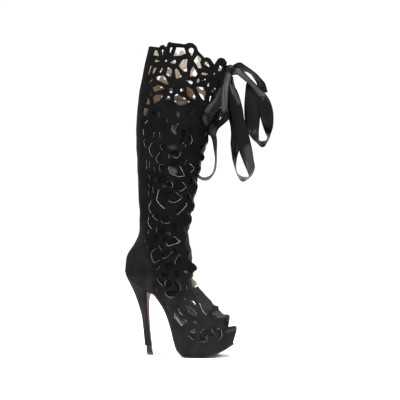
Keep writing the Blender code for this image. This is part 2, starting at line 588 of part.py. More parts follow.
def make_platform(boot):
    inset = WALL + PLATFORM_CLEARANCE
    rings = [platform_ring(float(station), inset) for station in range(PLATFORM_END_STATION, 0, -1)]
    covered = platform_ring(0.0, inset)
    flush = platform_ring(0.0, 0.0)
    step = np.array((FIT + 0.1, 0, 0))
    rings += [[point + step for point in covered], [point + step for point in flush]]
    first = section_at(0.0)
    base_z, rim_z = flush[0][2], flush[PLATFORM_HEIGHTS - 1][2]
    for row in TOE_ROWS:
        ring = []
        for point in flush:
            level = (point[2] - base_z) / (rim_z - base_z)
            x = (row.base_x + (row.rim_x - row.base_x) * level) * LENGTH_FACTOR
            y = (point[1] - first.swing) * row.half_width / first.half_width + row.swing
            ring.append(np.array((x, y, row.base_z + (row.rim_z - row.base_z) * level)))
        rings.append(ring)
    return loft("platform", rings, boot, "platform_suede")


def sole_ring(top, under, half_width, swing):
    """Six corners across the sole, its lower edge chamfered."""
    mid = top + (under - top) * 0.6
    chamfer = min(SOLE_CHAMFER, 0.3 * half_width)
    right = [(top, half_width), (mid, half_width), (under, half_width - chamfer)]
    corners = right + [(point, -width) for point, width in reversed(right)]
    return [np.array((point[0], width + swing, point[1])) for point, width in corners]


def make_outsole(boot):
    """The sole under the base line of platform and upper, then the flap down the heel."""
    first = section_at(0.0)
    rows = [(row.base_x * LENGTH_FACTOR, row.base_z,
             first.base_half_width * row.half_width / first.half_width, row.swing)
            for row in reversed(TOE_ROWS)]
    for station in range(SOLE_END_STATION + 1):
        section = section_at(float(station))
        rows.append((section.base_x, section.base_z, section.base_half_width, section.swing))
    line = np.array([(x, z) for x, z, half_width, swing in rows])
    along = np.gradient(line, axis=0)
    along /= np.linalg.norm(along, axis=1)[:, None]
    rings = []
    for (x, z, half_width, swing), (run, climb) in zip(rows, along):
        away = np.array((climb, -run))
        under = np.array((x, z)) - away * (FIT + SOLE_THICKNESS)
        if under[1] < FLAT_LIMIT:
            under = np.array((x, 0.0))
        rings.append(sole_ring(np.array((x, z)) - away * FIT, under, half_width, swing))
    for row in FLAP_ROWS:
        rear = np.array((row.rear_x * LENGTH_FACTOR, row.rear_z))
        front = np.array((row.front_x * LENGTH_FACTOR, row.front_z))
        rings.append(sole_ring(rear, front, row.half_width, 0.0))
    return loft("outsole", rings, boot, "rose_leather")


def make_insole(boot):
    """The footbed: from the platform's front end back to the heel seat."""
    rings = []
    for row in reversed(TOE_ROWS[:3]):
        half_width = row.half_width - INSOLE_RIM
        right = [(half_width, 2 * FIT), (half_width, FIT + INSOLE_THICKNESS)]
        corners = right + [(-width, rise) for width, rise in reversed(right)]
        x = row.rim_x * LENGTH_FACTOR
        rings.append([np.array((x, width + row.swing, row.rim_z + rise)) for width, rise in corners])
    for station in range(SEAT_END_STATION + 1):
        section = section_at(float(station))
        depth = section_depth(section)
        low = section.bed_height + FIT
        high = low + INSOLE_THICKNESS
        wall = inner_outline(float(station), low, high, 3, WALL + INSOLE_CLEARANCE)
        width = min(width for down, width in wall)
        if station == SEAT_END_STATION:
            width *= SEAT_ROUNDING
        pairs = [(depth - low, width), (depth - high, width)]
        corners = pairs + [(down, -across) for down, across in reversed(pairs)]
        rings.append([in_section_plane(float(station), *corner) for corner in corners])
    return loft("insole", rings, boot, "nude_leather")


def heel_ring(row):
    """A D-shaped section: flat in front, round at the back."""
    share = np.linspace(0, 1, HEEL_SIDE_POINTS) ** 0.8
    width = row.half_width * np.sqrt(1 - share ** HEEL_ROUNDNESS)
    x = (row.front_x + (row.back_x - row.front_x) * share) * LENGTH_FACTOR
    z = row.front_z + (row.back_z - row.front_z) * share
    right = list(zip(x, width, z))
    left = [(px, -py, pz) for px, py, pz in reversed(right[:-1])]
    return [np.array(point) for point in right + left]


def make_heel(boot):
    loft("heel", [heel_ring(row) for row in HEEL_ROWS], boot, "heel_suede")
    loft("heel_tip", [heel_ring(row) for row in HEEL_TIP_ROWS], boot, "black_gloss")


def lace_band(low, high, side):
    """Rings of one band laid out flat, from an eyelet to the next one across the throat."""
    rings = []
    for t in np.linspace(0, 1, LACE_STEPS + 1):
        height = low + (high - low) * t
        across = side * (throat_half_gap(height) + EYELET_INSET) * (1 - 2 * t)
        low_edge, high_edge = height - LACE_WIDTH / 2, height + LACE_WIDTH / 2
        rings.append([(across, low_edge, 0), (across, high_edge, 0),
                      (across, high_edge, LACE_THICKNESS), (across, low_edge, LACE_THICKNESS)])
    return rings


def lace_bands(name, first, side, collection):
    """Every second band of one strand: these lie clear of each other."""
    bm = bmesh.new()
    for low, high in list(zip(EYELET_HEIGHTS, EYELET_HEIGHTS[1:]))[first::2]:
        add_loft(bm, lace_band(low, high, side))
    return as_cutter(new_object(name, finished_mesh(name, bm), collection))


def make_lacing(boot, cutters):
    """Both strands are joined while they lie flat, then bent over the upper's front."""
    flat = lace_bands("flat_lacing", 0, 1, cutters)
    for name, first, side in (("lower_turns", 1, -1), ("other_strand", 0, -1), ("other_turns", 1, 1)):
        add_boolean(flat, lace_bands(name, first, side, cutters), "UNION")
    graph = bpy.context.evaluated_depsgraph_get()
    mesh = bpy.data.meshes.new_from_object(flat.evaluated_get(graph))
    for vertex in mesh.vertices:
        across, height, rise = np.array(vertex.co) / MM
        reach = throat_half_gap(height) + EYELET_INSET
        bulge = LACE_BULGE * max(1 - (across / reach) ** 2, 0)
        point, up, around, outward = upper_frame(*front_place(height, across))
        vertex.co = (point + outward * (LACE_RISE + bulge + rise)) * MM
    mesh.name = "ribbon_lacing"
    return new_object("ribbon_lacing", mesh, boot, "black_satin")


def smooth_route(route):
    """Cross-sections of a free ribbon, evenly spaced on a smooth curve through its route."""
    rows = np.array(route, dtype=float)
    rows[:, 0] *= LENGTH_FACTOR
    rows[:, 3:6] /= np.linalg.norm(rows[:, 3:6], axis=1)[:, None]
    fine = []
    for k in range(len(rows) - 1):
        index = [min(max(k + step, 0), len(rows) - 1) for step in (-1, 0, 1, 2)]
        for t in np.linspace(0, 1, ROUTE_STEPS, endpoint=(k == len(rows) - 2)):
            weights = 0.5 * np.array((-t + 2 * t**2 - t**3, 2 - 5 * t**2 + 3 * t**3,
                                      t + 4 * t**2 - 3 * t**3, -t**2 + t**3))
            fine.append(weights @ rows[index])
    fine = np.array(fine)
    steps = np.linalg.norm(np.diff(fine[:, :3], axis=0), axis=1)
    arc = np.concatenate(((0.0,), np.cumsum(steps)))
    even = np.linspace(0, arc[-1], int(arc[-1] / RIBBON_STEP) + 1)
    rows = np.stack([np.interp(even, arc, column) for column in fine.T], axis=1)
    return rows[:, :3], rows[:, 3:6], np.minimum(rows[:, 6], RIBBON_WIDTH)


def make_free_ribbon(name, route, boot):
    """A band that turns over on itself, so it follows its own across vectors and not a curve's tilt."""
    centre, across, width = smooth_route(route)
    along = np.gradient(centre, axis=0)
    along /= np.linalg.norm(along, axis=1)[:, None]
    across = across - along * np.sum(across * along, axis=1)[:, None]
    across /= np.linalg.norm(across, axis=1)[:, None]
    rows = [[point - side * wide / 2, point, point + side * wide / 2]
            for point, side, wide in zip(centre, across, width)]
    bm = bmesh.new()
    add_sheet(bm, rows)
    bmesh.ops.triangulate(bm, faces=bm.faces)
    walled_object(name, bm, RIBBON_THICKNESS, 0, boot, "black_satin")


def lead_inner_route():
    route = []
    for height, across, rise, width in LEAD_INNER_PLACES:
        point, up, around, outward = upper_frame(*front_place(height, across))
        point = (point + outward * rise) / (LENGTH_FACTOR, 1.0, 1.0)
        route.append(RibbonPoint(*point, *around, width))
    return route + [knot_exit(LEAD_INNER_EXIT, LEAD_INNER_ACROSS)]


def make_bow(boot):
    bm = bmesh.new()
    size = Matrix.Diagonal((*(np.array(KNOT_SIZE) * MM), 1.0))
    place = Matrix.Translation(Vector(KNOT_CENTRE) * MM)
    bmesh.ops.create_uvsphere(bm, u_segments=16, v_segments=10, radius=0.5, matrix=place @ size)
    new_object("ribbon_knot", finished_mesh("ribbon_knot", bm), boot, "black_satin")
    make_free_ribbon("ribbon_loop_short", LOOP_SHORT_ROUTE, boot)
    make_free_ribbon("ribbon_loop_long", LOOP_LONG_ROUTE, boot)
    make_free_ribbon("ribbon_tail", TAIL_ROUTE, boot)
    make_free_ribbon("ribbon_lead_outer", LEAD_OUTER_ROUTE, boot)
    make_free_ribbon("ribbon_lead_inner", lead_inner_route(), boot)


def main():
    clear_scene()
    boot = new_collection(BOOT_COLLECTION)
    cutters = new_collection(CUTTER_COLLECTION)
    make_upper(boot, cutters)
    make_platform(boot)
    make_outsole(boot)
    make_insole(boot)
    make_heel(boot)
    make_lacing(boot, cutters)
    make_bow(boot)


main()
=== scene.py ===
"""Looks of the right knee-high platform boot: cut-out suede, ribbon lacing and bow, on its CAD frame.

Tables are in millimetres. The cut-out pattern is drawn as it is seen from the outer side of the
boot, turned a little to the front, and laid on the last from there; the inner side mirrors it.
"""

import math
from collections import namedtuple
from functools import lru_cache, partial

import bmesh
import bpy
import numpy as np
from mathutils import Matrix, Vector


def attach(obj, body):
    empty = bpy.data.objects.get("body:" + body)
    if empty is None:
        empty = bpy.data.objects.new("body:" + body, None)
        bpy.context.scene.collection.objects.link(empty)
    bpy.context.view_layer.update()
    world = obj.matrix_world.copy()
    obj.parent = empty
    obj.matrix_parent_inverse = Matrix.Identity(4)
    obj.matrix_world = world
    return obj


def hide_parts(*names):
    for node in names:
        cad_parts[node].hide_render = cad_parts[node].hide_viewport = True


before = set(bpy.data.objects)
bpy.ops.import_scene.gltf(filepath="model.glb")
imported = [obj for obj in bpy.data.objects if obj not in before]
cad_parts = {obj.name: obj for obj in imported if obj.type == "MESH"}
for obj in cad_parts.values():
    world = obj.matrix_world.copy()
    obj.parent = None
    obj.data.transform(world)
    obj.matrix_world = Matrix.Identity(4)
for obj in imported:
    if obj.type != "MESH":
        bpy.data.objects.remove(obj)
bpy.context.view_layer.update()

MM = 0.001
LENGTH_FACTOR = 1.02
WALL = 2.2
RIBBON_WIDTH = 24.0
SATIN_WALL = 0.4

# ------------------------------------------------------------------------------ camera and light

VIEW_TURN = math.radians(12.0)
VIEW_DISTANCE = 2.1
VIEW_HEIGHT = 0.27
VIEW_CENTRE_X = 0.0078
VIEW_LENS = 98.4
SENSOR = 36.0
VIEW_SHIFT = 0.0384
FLOOR_RADIUS = 40.0


def add_camera():
    data = bpy.data.cameras.new("camera")
    data.lens = VIEW_LENS
    data.sensor_width = SENSOR
    data.shift_y = VIEW_SHIFT
    camera = bpy.data.objects.new("camera", data)
    camera.location = (VIEW_CENTRE_X + math.sin(VIEW_TURN) * VIEW_DISTANCE,
                       -math.cos(VIEW_TURN) * VIEW_DISTANCE, VIEW_HEIGHT)
    camera.rotation_euler = (math.pi / 2, 0.0, VIEW_TURN)
    bpy.context.scene.collection.objects.link(camera)
    bpy.context.scene.camera = camera


def add_area_light(name, place, aim_height, size, power):
    data = bpy.data.lights.new(name, "AREA")
    data.shape = "DISK"
    data.size = size
    data.energy = power
    light = bpy.data.objects.new(name, data)
    light.location = place
    aim = Vector((0.0, 0.0, aim_height)) - Vector(place)
    light.rotation_euler = aim.to_track_quat("-Z", "Y").to_euler()
    bpy.context.scene.collection.objects.link(light)


def add_studio():
    bpy.context.scene.view_settings.view_transform = "Standard"
    world = bpy.data.worlds.new("studio")
    world.use_nodes = True
    background = world.node_tree.nodes["Background"]
    feed(world.node_tree, background, {"Color": (1.0, 1.0, 1.0, 1.0), "Strength": 1.05})
    bpy.context.scene.world = world
    add_area_light("key", (-1.2, -1.5, 1.9), 0.3, 0.7, 70)
    add_area_light("top", (0.7, -0.5, 2.3), 0.3, 1.0, 45)
    add_area_light("rim", (1.4, -0.3, 1.2), 0.35, 0.6, 14)
    bpy.ops.object.select_all(action="DESELECT")
    bpy.ops.mesh.primitive_circle_add(vertices=96, radius=FLOOR_RADIUS, fill_type="NGON", location=(0, 0, 0))
    floor = bpy.context.object
    floor.name = "floor"
    floor.data.materials.append(floor_material())


# ------------------------------------------------------------------------------------- materials

def shader_of(name):
    material = bpy.data.materials.new(name)
    material.use_nodes = True
    return material, material.node_tree, material.node_tree.nodes["Principled BSDF"]


def feed(tree, node, inputs):
    """Settle a node's inputs: a socket is linked, any other value is set."""
    for key, value in inputs.items():
        if isinstance(value, bpy.types.NodeSocket):
            tree.links.new(value, node.inputs[key])
        else:
            node.inputs[key].default_value = value


def add_node(tree, kind, inputs, **settings):
    node = tree.nodes.new(kind)
    for key, value in settings.items():
        setattr(node, key, value)
    feed(tree, node, inputs)
    return node


def object_coordinates(tree):
    return add_node(tree, "ShaderNodeTexCoord", {}).outputs["Object"]


def attribute(tree, name):
    return add_node(tree, "ShaderNodeAttribute", {}, attribute_name=name).outputs["Fac"]


def axis_of(tree, vector, axis):
    return add_node(tree, "ShaderNodeSeparateXYZ", {"Vector": vector}).outputs[axis]


def noise(tree, coordinates, scale, detail=3.0, roughness=0.55, distortion=0.0):
    return add_node(tree, "ShaderNodeTexNoise", {
        "Vector": coordinates, "Scale": scale, "Detail": detail, "Roughness": roughness,
        "Distortion": distortion}).outputs["Fac"]


def wave(tree, coordinates, bands, scale, distortion):
    return add_node(tree, "ShaderNodeTexWave", {
        "Vector": coordinates, "Scale": scale, "Distortion": distortion},
        bands_direction=bands).outputs["Fac"]


def calculated(tree, operation, first, second):
    return add_node(tree, "ShaderNodeMath", {0: first, 1: second}, operation=operation).outputs[0]


def ramp(tree, value, stops):
    node = add_node(tree, "ShaderNodeValToRGB", {"Fac": value})
    elements = node.color_ramp.elements
    while len(elements) < len(stops):
        elements.new(0.5)
    for element, (place, colour) in zip(elements, stops):
        element.position = place
        element.color = (*colour, 1.0)
    return node.outputs["Color"]


def to_range(tree, value, low, high):
    return add_node(tree, "ShaderNodeMapRange", {
        "Value": value, "To Min": low, "To Max": high}).outputs["Result"]


def bump(tree, height, strength, distance, over=None):
    """A normal from a height, on top of another normal where one is given."""
    inputs = {"Height": height, "Strength": strength, "Distance": distance}
    if over is not None:
        inputs["Normal"] = over
    return add_node(tree, "ShaderNodeBump", inputs).outputs["Normal"]


def multiplied(tree, colour, shade):
    return add_node(tree, "ShaderNodeMix", {"Factor": 1.0, "A": colour, "B": shade},
                    data_type="RGBA", blend_type="MULTIPLY").outputs["Result"]


def floor_material():
    material, tree, shader = shader_of("floor")
    feed(tree, shader, {"Base Color": (0.97, 0.97, 0.97, 1.0), "Roughness": 0.9})
    return material


def suede_material(name, tone=1.0, lattice=False):
    """Napped black suede: brushed patches, fibre grain and a pale bloom at grazing angles. With a
    lattice, colour and sheen carry painted light and shade: darker between the cut-outs."""
    material, tree, shader = shader_of(name)
    place = object_coordinates(tree)
    patches = noise(tree, place, 34.0, 4.0, 0.6, 0.4)
    dark, light = 0.0055 * tone, 0.0115 * tone
    colour = ramp(tree, patches, [(0.32, (dark, dark, dark * 1.06)), (0.72, (light, light, light * 1.08))])
    nap = bump(tree, noise(tree, place, 2600.0, 2.0, 0.7), 0.35, 0.0003)
    fold = noise(tree, place, 260.0, 3.0, 0.6, 0.6)
    feed(tree, shader, {
        "Roughness": 0.95, "Specular IOR Level": 0.03, "Sheen Weight": 0.04, "Sheen Roughness": 0.5,
        "Sheen Tint": (0.35, 0.35, 0.38, 1.0), "Normal": bump(tree, fold, 0.25, 0.0006, nap)})
    if lattice:
        # painted light and shade: this attribute darkens colour and sheen between the cut-outs and on the
        # counter
        painted_nap_light = attribute(tree, "painted_nap_light")
        shade = ramp(tree, painted_nap_light, [(0.0, (0.35, 0.35, 0.35)), (1.0, (1.0, 1.0, 1.0))])
        colour = multiplied(tree, colour, shade)
        feed(tree, shader, {"Sheen Weight": to_range(tree, painted_nap_light, 0.0, 0.05)})
    feed(tree, shader, {"Base Color": colour})
    return material


# Painted light and shade on a shaft's lining, by height in metres: darker and browner further down,
# paler near the top and at the foot.
LINING_PAINTED_SHADES = [(0.2, (0.5, 0.52, 0.58)), (0.44, (0.25, 0.21, 0.16)), (0.49, (0.25, 0.208, 0.166)),
                 (0.525, (0.26, 0.2, 0.152)), (0.55, (0.42, 0.385, 0.355)), (0.575, (0.48, 0.49, 0.49))]


def leather_material(name, colour, roughness, mottle=0.12, painted_shading=False):
    """Smooth leather with fine grain and soft mottling; as a shaft's lining, painted light and shade by
    height.
    """
    material, tree, shader = shader_of(name)
    place = object_coordinates(tree)
    mottling = noise(tree, place, 90.0, 3.0)
    dark = tuple(value * (1 - mottle) for value in colour)
    light = tuple(value * (1 + mottle) for value in colour)
    tone = ramp(tree, mottling, [(0.3, dark), (0.7, light)])
    if painted_shading:
        tone = multiplied(tree, tone, ramp(tree, axis_of(tree, place, "Z"), LINING_PAINTED_SHADES))
    grain = add_node(tree, "ShaderNodeTexVoronoi", {"Vector": place, "Scale": 1500.0})
    feed(tree, shader, {
        "Base Color": tone, "Roughness": to_range(tree, mottling, roughness - 0.08, roughness + 0.1),
        "Specular IOR Level": 0.15, "Normal": bump(tree, grain.outputs["Distance"], 0.2, 0.0002)})
    return material


def sleeve_material():
    """Fine black knit of the sleeve behind the cut-outs, with a few soft painted highlights, unevenly
    bright, where folds would catch the light.
    """
    material, tree, shader = shader_of("black_knit")
    place = object_coordinates(tree)
    uneven = to_range(tree, noise(tree, place, 60.0, 3.0), 0.4, 1.6)
    shine = calculated(tree, "MULTIPLY", attribute(tree, "painted_highlight"), uneven)
    rows = wave(tree, place, "Z", 420.0, 1.5)
    feed(tree, shader, {
        "Base Color": ramp(tree, shine, [(0.05, (0.0025, 0.0025, 0.0026)), (1.0, (0.11, 0.11, 0.112))]),
        "Roughness": 0.85, "Specular IOR Level": 0.05, "Normal": bump(tree, rows, 0.3, 0.0003)})
    return material


def satin_material():
    """Black satin ribbon: a fine cross weave on its own UV map, with darker woven borders, and
    painted highlights, a paler colour, along the listed folds of the satin."""
    material, tree, shader = shader_of("black_satin_ribbon")
    uv = add_node(tree, "ShaderNodeUVMap", {}, uv_map="ribbon").outputs["UV"]
    from_border = calculated(tree, "PINGPONG", axis_of(tree, uv, "X"), 0.5)
    woven = ramp(tree, from_border, [(0.03, (0.25, 0.25, 0.26)), (0.14, (1.0, 1.0, 1.0))])
    lit = ramp(tree, attribute(tree, "painted_highlight"),
               [(0.0, (0.002, 0.002, 0.0024)), (1.0, (0.05, 0.0505, 0.053))])
    threads = add_node(tree, "ShaderNodeMapping", {"Vector": uv, "Scale": (30.0, 900.0, 1.0)})
    weave = wave(tree, threads.outputs["Vector"], "Y", 1.0, 0.6)
    crease = noise(tree, object_coordinates(tree), 130.0, 2.0, 0.5, 0.8)
    feed(tree, shader, {
        "Base Color": multiplied(tree, lit, woven), "Roughness": 0.33, "Specular IOR Level": 0.09,
        "Normal": bump(tree, crease, 0.25, 0.0012, bump(tree, weave, 0.12, 0.0001))})
    return material


def gloss_material():
    material, tree, shader = shader_of("heel_tip_gloss")
    wear = noise(tree, object_coordinates(tree), 400.0, 3.0)
    feed(tree, shader, {
        "Base Color": ramp(tree, wear, [(0.3, (0.006, 0.006, 0.007)), (0.8, (0.012, 0.012, 0.013))]),
        "Roughness": to_range(tree, wear, 0.14, 0.3), "Specular IOR Level": 0.22})
    return material


def rubber_material():
    material, tree, shader = shader_of("top_lift_rubber")
    grain = noise(tree, object_coordinates(tree), 900.0, 2.0)
    feed(tree, shader, {
        "Base Color": ramp(tree, grain, [(0.3, (0.02, 0.02, 0.02)), (0.8, (0.04, 0.04, 0.041))]),
        "Roughness": 0.6, "Normal": bump(tree, grain, 0.2, 0.0002)})
    return material


# ------------------------------------------------------------------------- the last's own surface

Section = namedtuple("Section", "ridge_x ridge_z base_x base_z half_width base_half_width "
                     "widest_at crown swing bed_height")
SECTION_ROWS = (
    (55.0, 80.5, 55, 15.9, 31.0, 27.0, 0.57, 2.2, 4.0, 35.0),
    (43.0, 92.5, 39, 8.4, 38.0, 33.0, 0.60, 2.2, 3.0, 40.6),
    (28.0, 104.5, 21, 3.4, 43.0, 38.0, 0.62, 2.1, 1.5, 44.2),
    (10.0, 124, 2, 3.3, 44.5, 39.0, 0.62, 2.0, 0.0, 44.7),
    (0.0, 138, -14, 3.3, 43.0, 36.0, 0.60, 1.9, -1.0, 49.0),
    (-5.0, 151, -27.1, 14.4, 41.5, 32.0, 0.57, 1.9, -2.0, 47.0),
    (-8.5, 165, -34.0, 31.3, 39.5, 29.0, 0.54, 1.9, -2.0, 39.5),
    (-10.0, 180, -42.0, 60.9, 37.5, 27.0, 0.52, 1.9, -2.0, 21.0),
    (-11.0, 192, -53.5, 90.1, 36.0, 25.5, 0.50, 2.0, -1.5, 9.0),
    (-13.0, 205, -69.5, 114.3, 35.0, 25.5, 0.50, 2.0, -1.0, 2.0),
    (-14.0, 211, -77.8, 121.9, 34.7, 26.0, 0.50, 2.0, -0.8, 0.6),
    (-15.0, 217, -91.5, 126.6, 34.5, 26.5, 0.50, 2.0, -0.5, 0.6),
    (-16.5, 229, -115, 142.2, 34.5, 26.0, 0.50, 2.0, 0.0, 0.6),
    (-16.6, 233, -127, 150.2, 34.5, 19.5, 0.50, 2.0, 0.0, 0.6),
    (-16.4, 236.5, -133, 154.2, 34.7, 12.5, 0.50, 2.0, 0.0, 0.6),
    (-16.0, 240, -137, 157, 35.0, 0.0, 0.50, 2.0, 0.0, 0.0),
    (-14.5, 255, -136.5, 172, 35.5, 0.0, 0.50, 2.0, 0.0, 0.0),
    (-12.0, 270, -132, 192, 36.5, 0.0, 0.50, 2.0, 0.0, 0.0),
    (-9.0, 285, -118.5, 214, 38.0, 0.0, 0.50, 2.0, 0.0, 0.0),
    (-6.0, 305, -109, 238, 40.0, 0.0, 0.50, 2.0, 0.0, 0.0),
    (-2.0, 325, -107.5, 270, 42.5, 0.0, 0.50, 2.0, 0.0, 0.0),
    (3.0, 350, -110, 310, 46.0, 0.0, 0.50, 2.0, 0.0, 0.0),
    (10.0, 380, -111.5, 350, 50.0, 0.0, 0.50, 2.0, 0.0, 0.0),
    (20.0, 415, -113.0, 395, 54.0, 0.0, 0.52, 2.0, 0.0, 0.0),
    (31.0, 450, -114.0, 435, 57.0, 0.0, 0.53, 2.0, 0.0, 0.0),
    (41.0, 490, -111.5, 480, 58.5, 0.0, 0.54, 2.0, 0.0, 0.0),
    (50.0, 530, -104.5, 525, 58.5, 0.0, 0.54, 2.0, 0.0, 0.0),
    (59.0, 570, -95.5, 570, 58.0, 0.0, 0.53, 2.0, 0.0, 0.0),
    (65.0, 600, -88, 600, 57.0, 0.0, 0.52, 2.0, 0.0, 0.0),
)
SECTION_TABLE = np.array(SECTION_ROWS, dtype=float)
SECTION_TABLE[:, [0, 2]] *= LENGTH_FACTOR
LAST_STATION = len(SECTION_ROWS) - 1
FIRST_CLOSED_STATION = 15
THROAT_STATION = 3
GRID_STEP = 1.7
SIDE_COLUMNS = 110
OUTLINE_STEPS = 40


def rows_of(kind, rows):
    return [kind(*row) for row in rows]


def catmull(rows, place):
    """A table's row at a fractional place, on a smooth curve through its rows."""
    last = len(rows) - 1
    low = int(min(max(place, 0), last - 1e-9))
    t = place - low
    a, b, c, d = (rows[min(max(low + k, 0), last)] for k in (-1, 0, 1, 2))
    return 0.5 * (2 * b + (c - a) * t + (2 * a - 5 * b + 4 * c - d) * t ** 2
                  + (3 * b - a - 3 * c + d) * t ** 3)


def section_at(station):
    """The section at a fractional station; behind the heel it closes to a point."""
    section = Section(*catmull(SECTION_TABLE, station))
    base_half_width = max(section.base_half_width, 0.0)
    if station >= FIRST_CLOSED_STATION:
        base_half_width = 0.0
    return section._replace(base_half_width=base_half_width)


def section_depth(section):
    return math.hypot(section.base_x - section.ridge_x, section.base_z - section.ridge_z)


def half_outline(section):
    """Depth below the ridge, half width and arc length along one side of a section."""
    depth = section_depth(section)
    crown_depth = section.widest_at * depth
    base_ratio = section.base_half_width / section.half_width
    belly_depth = (depth - crown_depth) / math.sqrt(1 - base_ratio ** 2)
    rise = np.linspace(0, np.pi / 2, OUTLINE_STEPS)
    fall = np.linspace(0, math.acos(base_ratio), OUTLINE_STEPS)[1:]
    power = 2 / section.crown
    down = np.concatenate((crown_depth * (1 - np.cos(rise) ** power),
                           crown_depth + belly_depth * np.sin(fall)))
    wide = np.concatenate((section.half_width * np.sin(rise) ** power,
                           section.half_width * np.cos(fall)))
    arc = np.concatenate(((0.0,), np.cumsum(np.hypot(np.diff(down), np.diff(wide)))))
    return down, wide, arc


def section_row(station, sides):
    """Points of the outer surface at one station, and the section's half girth."""
    section = section_at(station)
    down, wide, arc = half_outline(section)
    length = np.abs(sides) * arc[-1]
    share = np.interp(length, arc, down) / section_depth(section)
    across = np.copysign(np.interp(length, arc, wide), sides)
    x = section.ridge_x + (section.base_x - section.ridge_x) * share
    z = section.ridge_z + (section.base_z - section.ridge_z) * share
    return np.stack((x, across + section.swing, z), axis=1), arc[-1]


class Skin:
    """A dense grid on the last's surface: rows up the boot, columns around it, in millimetres."""

    def __init__(self, step, columns, first=0.0):
        fine = np.linspace(first, LAST_STATION, 561)
        marks = np.array([section_row(s, np.array((-0.02, -0.35, -0.7)))[0] for s in fine])
        runs = np.linalg.norm(np.diff(marks, axis=0), axis=2).max(axis=1)
        total = np.concatenate(((0.0,), np.cumsum(runs)))
        count = int(total[-1] / step) + 1
        self.stations = np.interp(np.linspace(0, total[-1], count), total, fine)
        self.sides = np.linspace(-1, 1, 2 * columns + 1)
        rows = [section_row(s, self.sides) for s in self.stations]
        self.points = np.array([row for row, girth in rows])
        self.girth = np.array([girth for row, girth in rows])
        self.arc = np.abs(self.sides)[None, :] * self.girth[:, None]
        around = np.gradient(self.points, axis=1)
        up = np.gradient(self.points, axis=0)
        normal = np.cross(around, up)
        self.normals = normal / np.maximum(np.linalg.norm(normal, axis=2), 1e-9)[:, :, None]
        around /= np.maximum(np.linalg.norm(around, axis=2), 1e-9)[:, :, None]
        self.around = around
        self.up = np.cross(self.normals, around)
        self.middle = columns

    def half(self, inner):
        """Slice of the columns of one side."""
        return slice(self.middle, None) if inner else slice(0, self.middle + 1)


def seen_from_outside(points):
    """Where points show on the pattern plane, which stands in the boot's middle facing the view."""
    forward = np.array((-math.sin(VIEW_TURN), math.cos(VIEW_TURN), 0.0))
    right = np.array((math.cos(VIEW_TURN), math.sin(VIEW_TURN), 0.0))
    eye = np.array((VIEW_CENTRE_X, 0.0, VIEW_HEIGHT)) / MM - forward * VIEW_DISTANCE / MM
    away = points - eye
    scale = VIEW_DISTANCE / MM / (away @ forward)
    return np.stack(((away @ right) * scale + VIEW_CENTRE_X / MM,
                     away[..., 2] * scale + VIEW_HEIGHT / MM), axis=-1)


# --------------------------------------------------------------------------- the cut-out pattern

# Top line of the shaft on the pattern plane.
COLLAR_LINE = (
    (-112, 592), (-100, 594), (-89, 595), (-71, 593), (-68, 597), (-63, 598), (-60, 595), (-58, 592),
    (-55, 601), (-52, 604), (-46, 602), (-22, 599), (-13, 602), (-6, 601), (1, 595), (4, 588),
    (5, 585), (17, 573), (22, 574), (28, 571), (33, 564), (36, 559), (39, 564), (44, 571), (50, 573),
    (55, 571), (58, 564), (59, 555), (75, 552),
)
UNDER_COLLAR = COLLAR_LINE + ((75, -60), (-200, -60), (-200, 590))
# Round and drop-shaped holes: the two ends of each drop with their radii.
Drop = namedtuple("Drop", "x z radius end_x end_z end_radius")
DROPS = rows_of(Drop, (
    (-65, 587, 2.3, -65, 578, 0.9), (-48, 591, 2.5, -50, 583, 1.1), (-9, 587, 4.9, -8, 577, 0.7),
    (-86, 568, 1.1, -86, 566, 1.1), (-78, 567, 2.6, -71, 566, 0.7), (-58, 567, 2.1, -58, 567, 2.1),
    (-42, 565, 3.8, -49, 564, 1.0), (20, 562, 3.4, 27, 555, 0.7), (13, 542, 2.5, 24, 541, 0.9),
    (36, 542, 2.5, 36, 542, 2.5), (50, 538, 2.0, 51, 535, 2.0), (-66, 551, 2.5, -69, 546, 1.8),
    (-85, 531, 1.6, -90, 526, 1.5), (-89, 508, 1.3, -87, 501, 1.3), (-48, 512, 2.9, -48, 508, 2.9),
    (-27, 511, 3.2, -27, 510, 3.2), (-9, 525, 2.9, -18, 529, 0.7), (5, 530, 2.7, 4, 527, 2.7),
    (13, 529, 1.2, 13, 529, 1.2), (18, 531, 1.7, 18, 531, 1.7), (25, 522, 2.7, 24, 520, 2.7),
    (-35, 465, 4.7, -34, 457, 0.6), (-98, 447, 1.5, -93, 451, 1.5), (17, 452, 3.2, 17, 457, 1.5),
    (-35, 445, 2.0, -35, 445, 2.0), (-56, 455, 1.5, -55, 450, 1.2), (-71, 468, 1.2, -71, 460, 1.2),
    (-80, 429, 1.6, -81, 421, 1.2), (-69, 429, 1.3, -69, 420, 1.2), (-95, 375, 1.3, -95, 359, 1.2),
    (-89, 372, 1.7, -89, 363, 1.5), (-90, 347, 1.1, -89, 341, 1.1), (-81, 362, 1.2, -79, 356, 1.1),
    (-92, 329, 1.2, -89, 325, 1.1), (-91, 316, 1.2, -91, 309, 1.1), (-82, 325, 1.5, -82, 315, 1.5),
    (-21, 406, 1.1, -20, 401, 1.0), (-52, 385, 1.7, -51, 381, 1.5), (-63, 327, 1.2, -60, 325, 1.2),
    (-78, 338, 1.1, -78, 336, 1.1), (-46, 441, 1.5, -39, 440, 2.0), (-76, 246, 1.2, -76, 240, 1.1),
    (-91, 239, 2.2, -91, 236, 1.7), (-97, 224, 1.5, -97, 220, 1.5), (-92, 212, 1.5, -93, 208, 1.2),
    (-76, 128, 1.7, -75, 126, 2.2), (-56, 96, 1.1, -55, 94, 1.1), (-19, 135, 1.2, -16, 130, 1.1),
    (-52, 236, 1.1, -50, 233, 1.1), (-55, 95, 1.2, -54, 93, 1.2), (-3, 66, 2.0, 0, 64, 2.0),
    (22, 39, 1.2, 22, 33, 1.2), (-22, 110, 1.2, -22, 109, 1.2), (35, 72, 1.5, 34, 71, 1.5),
))
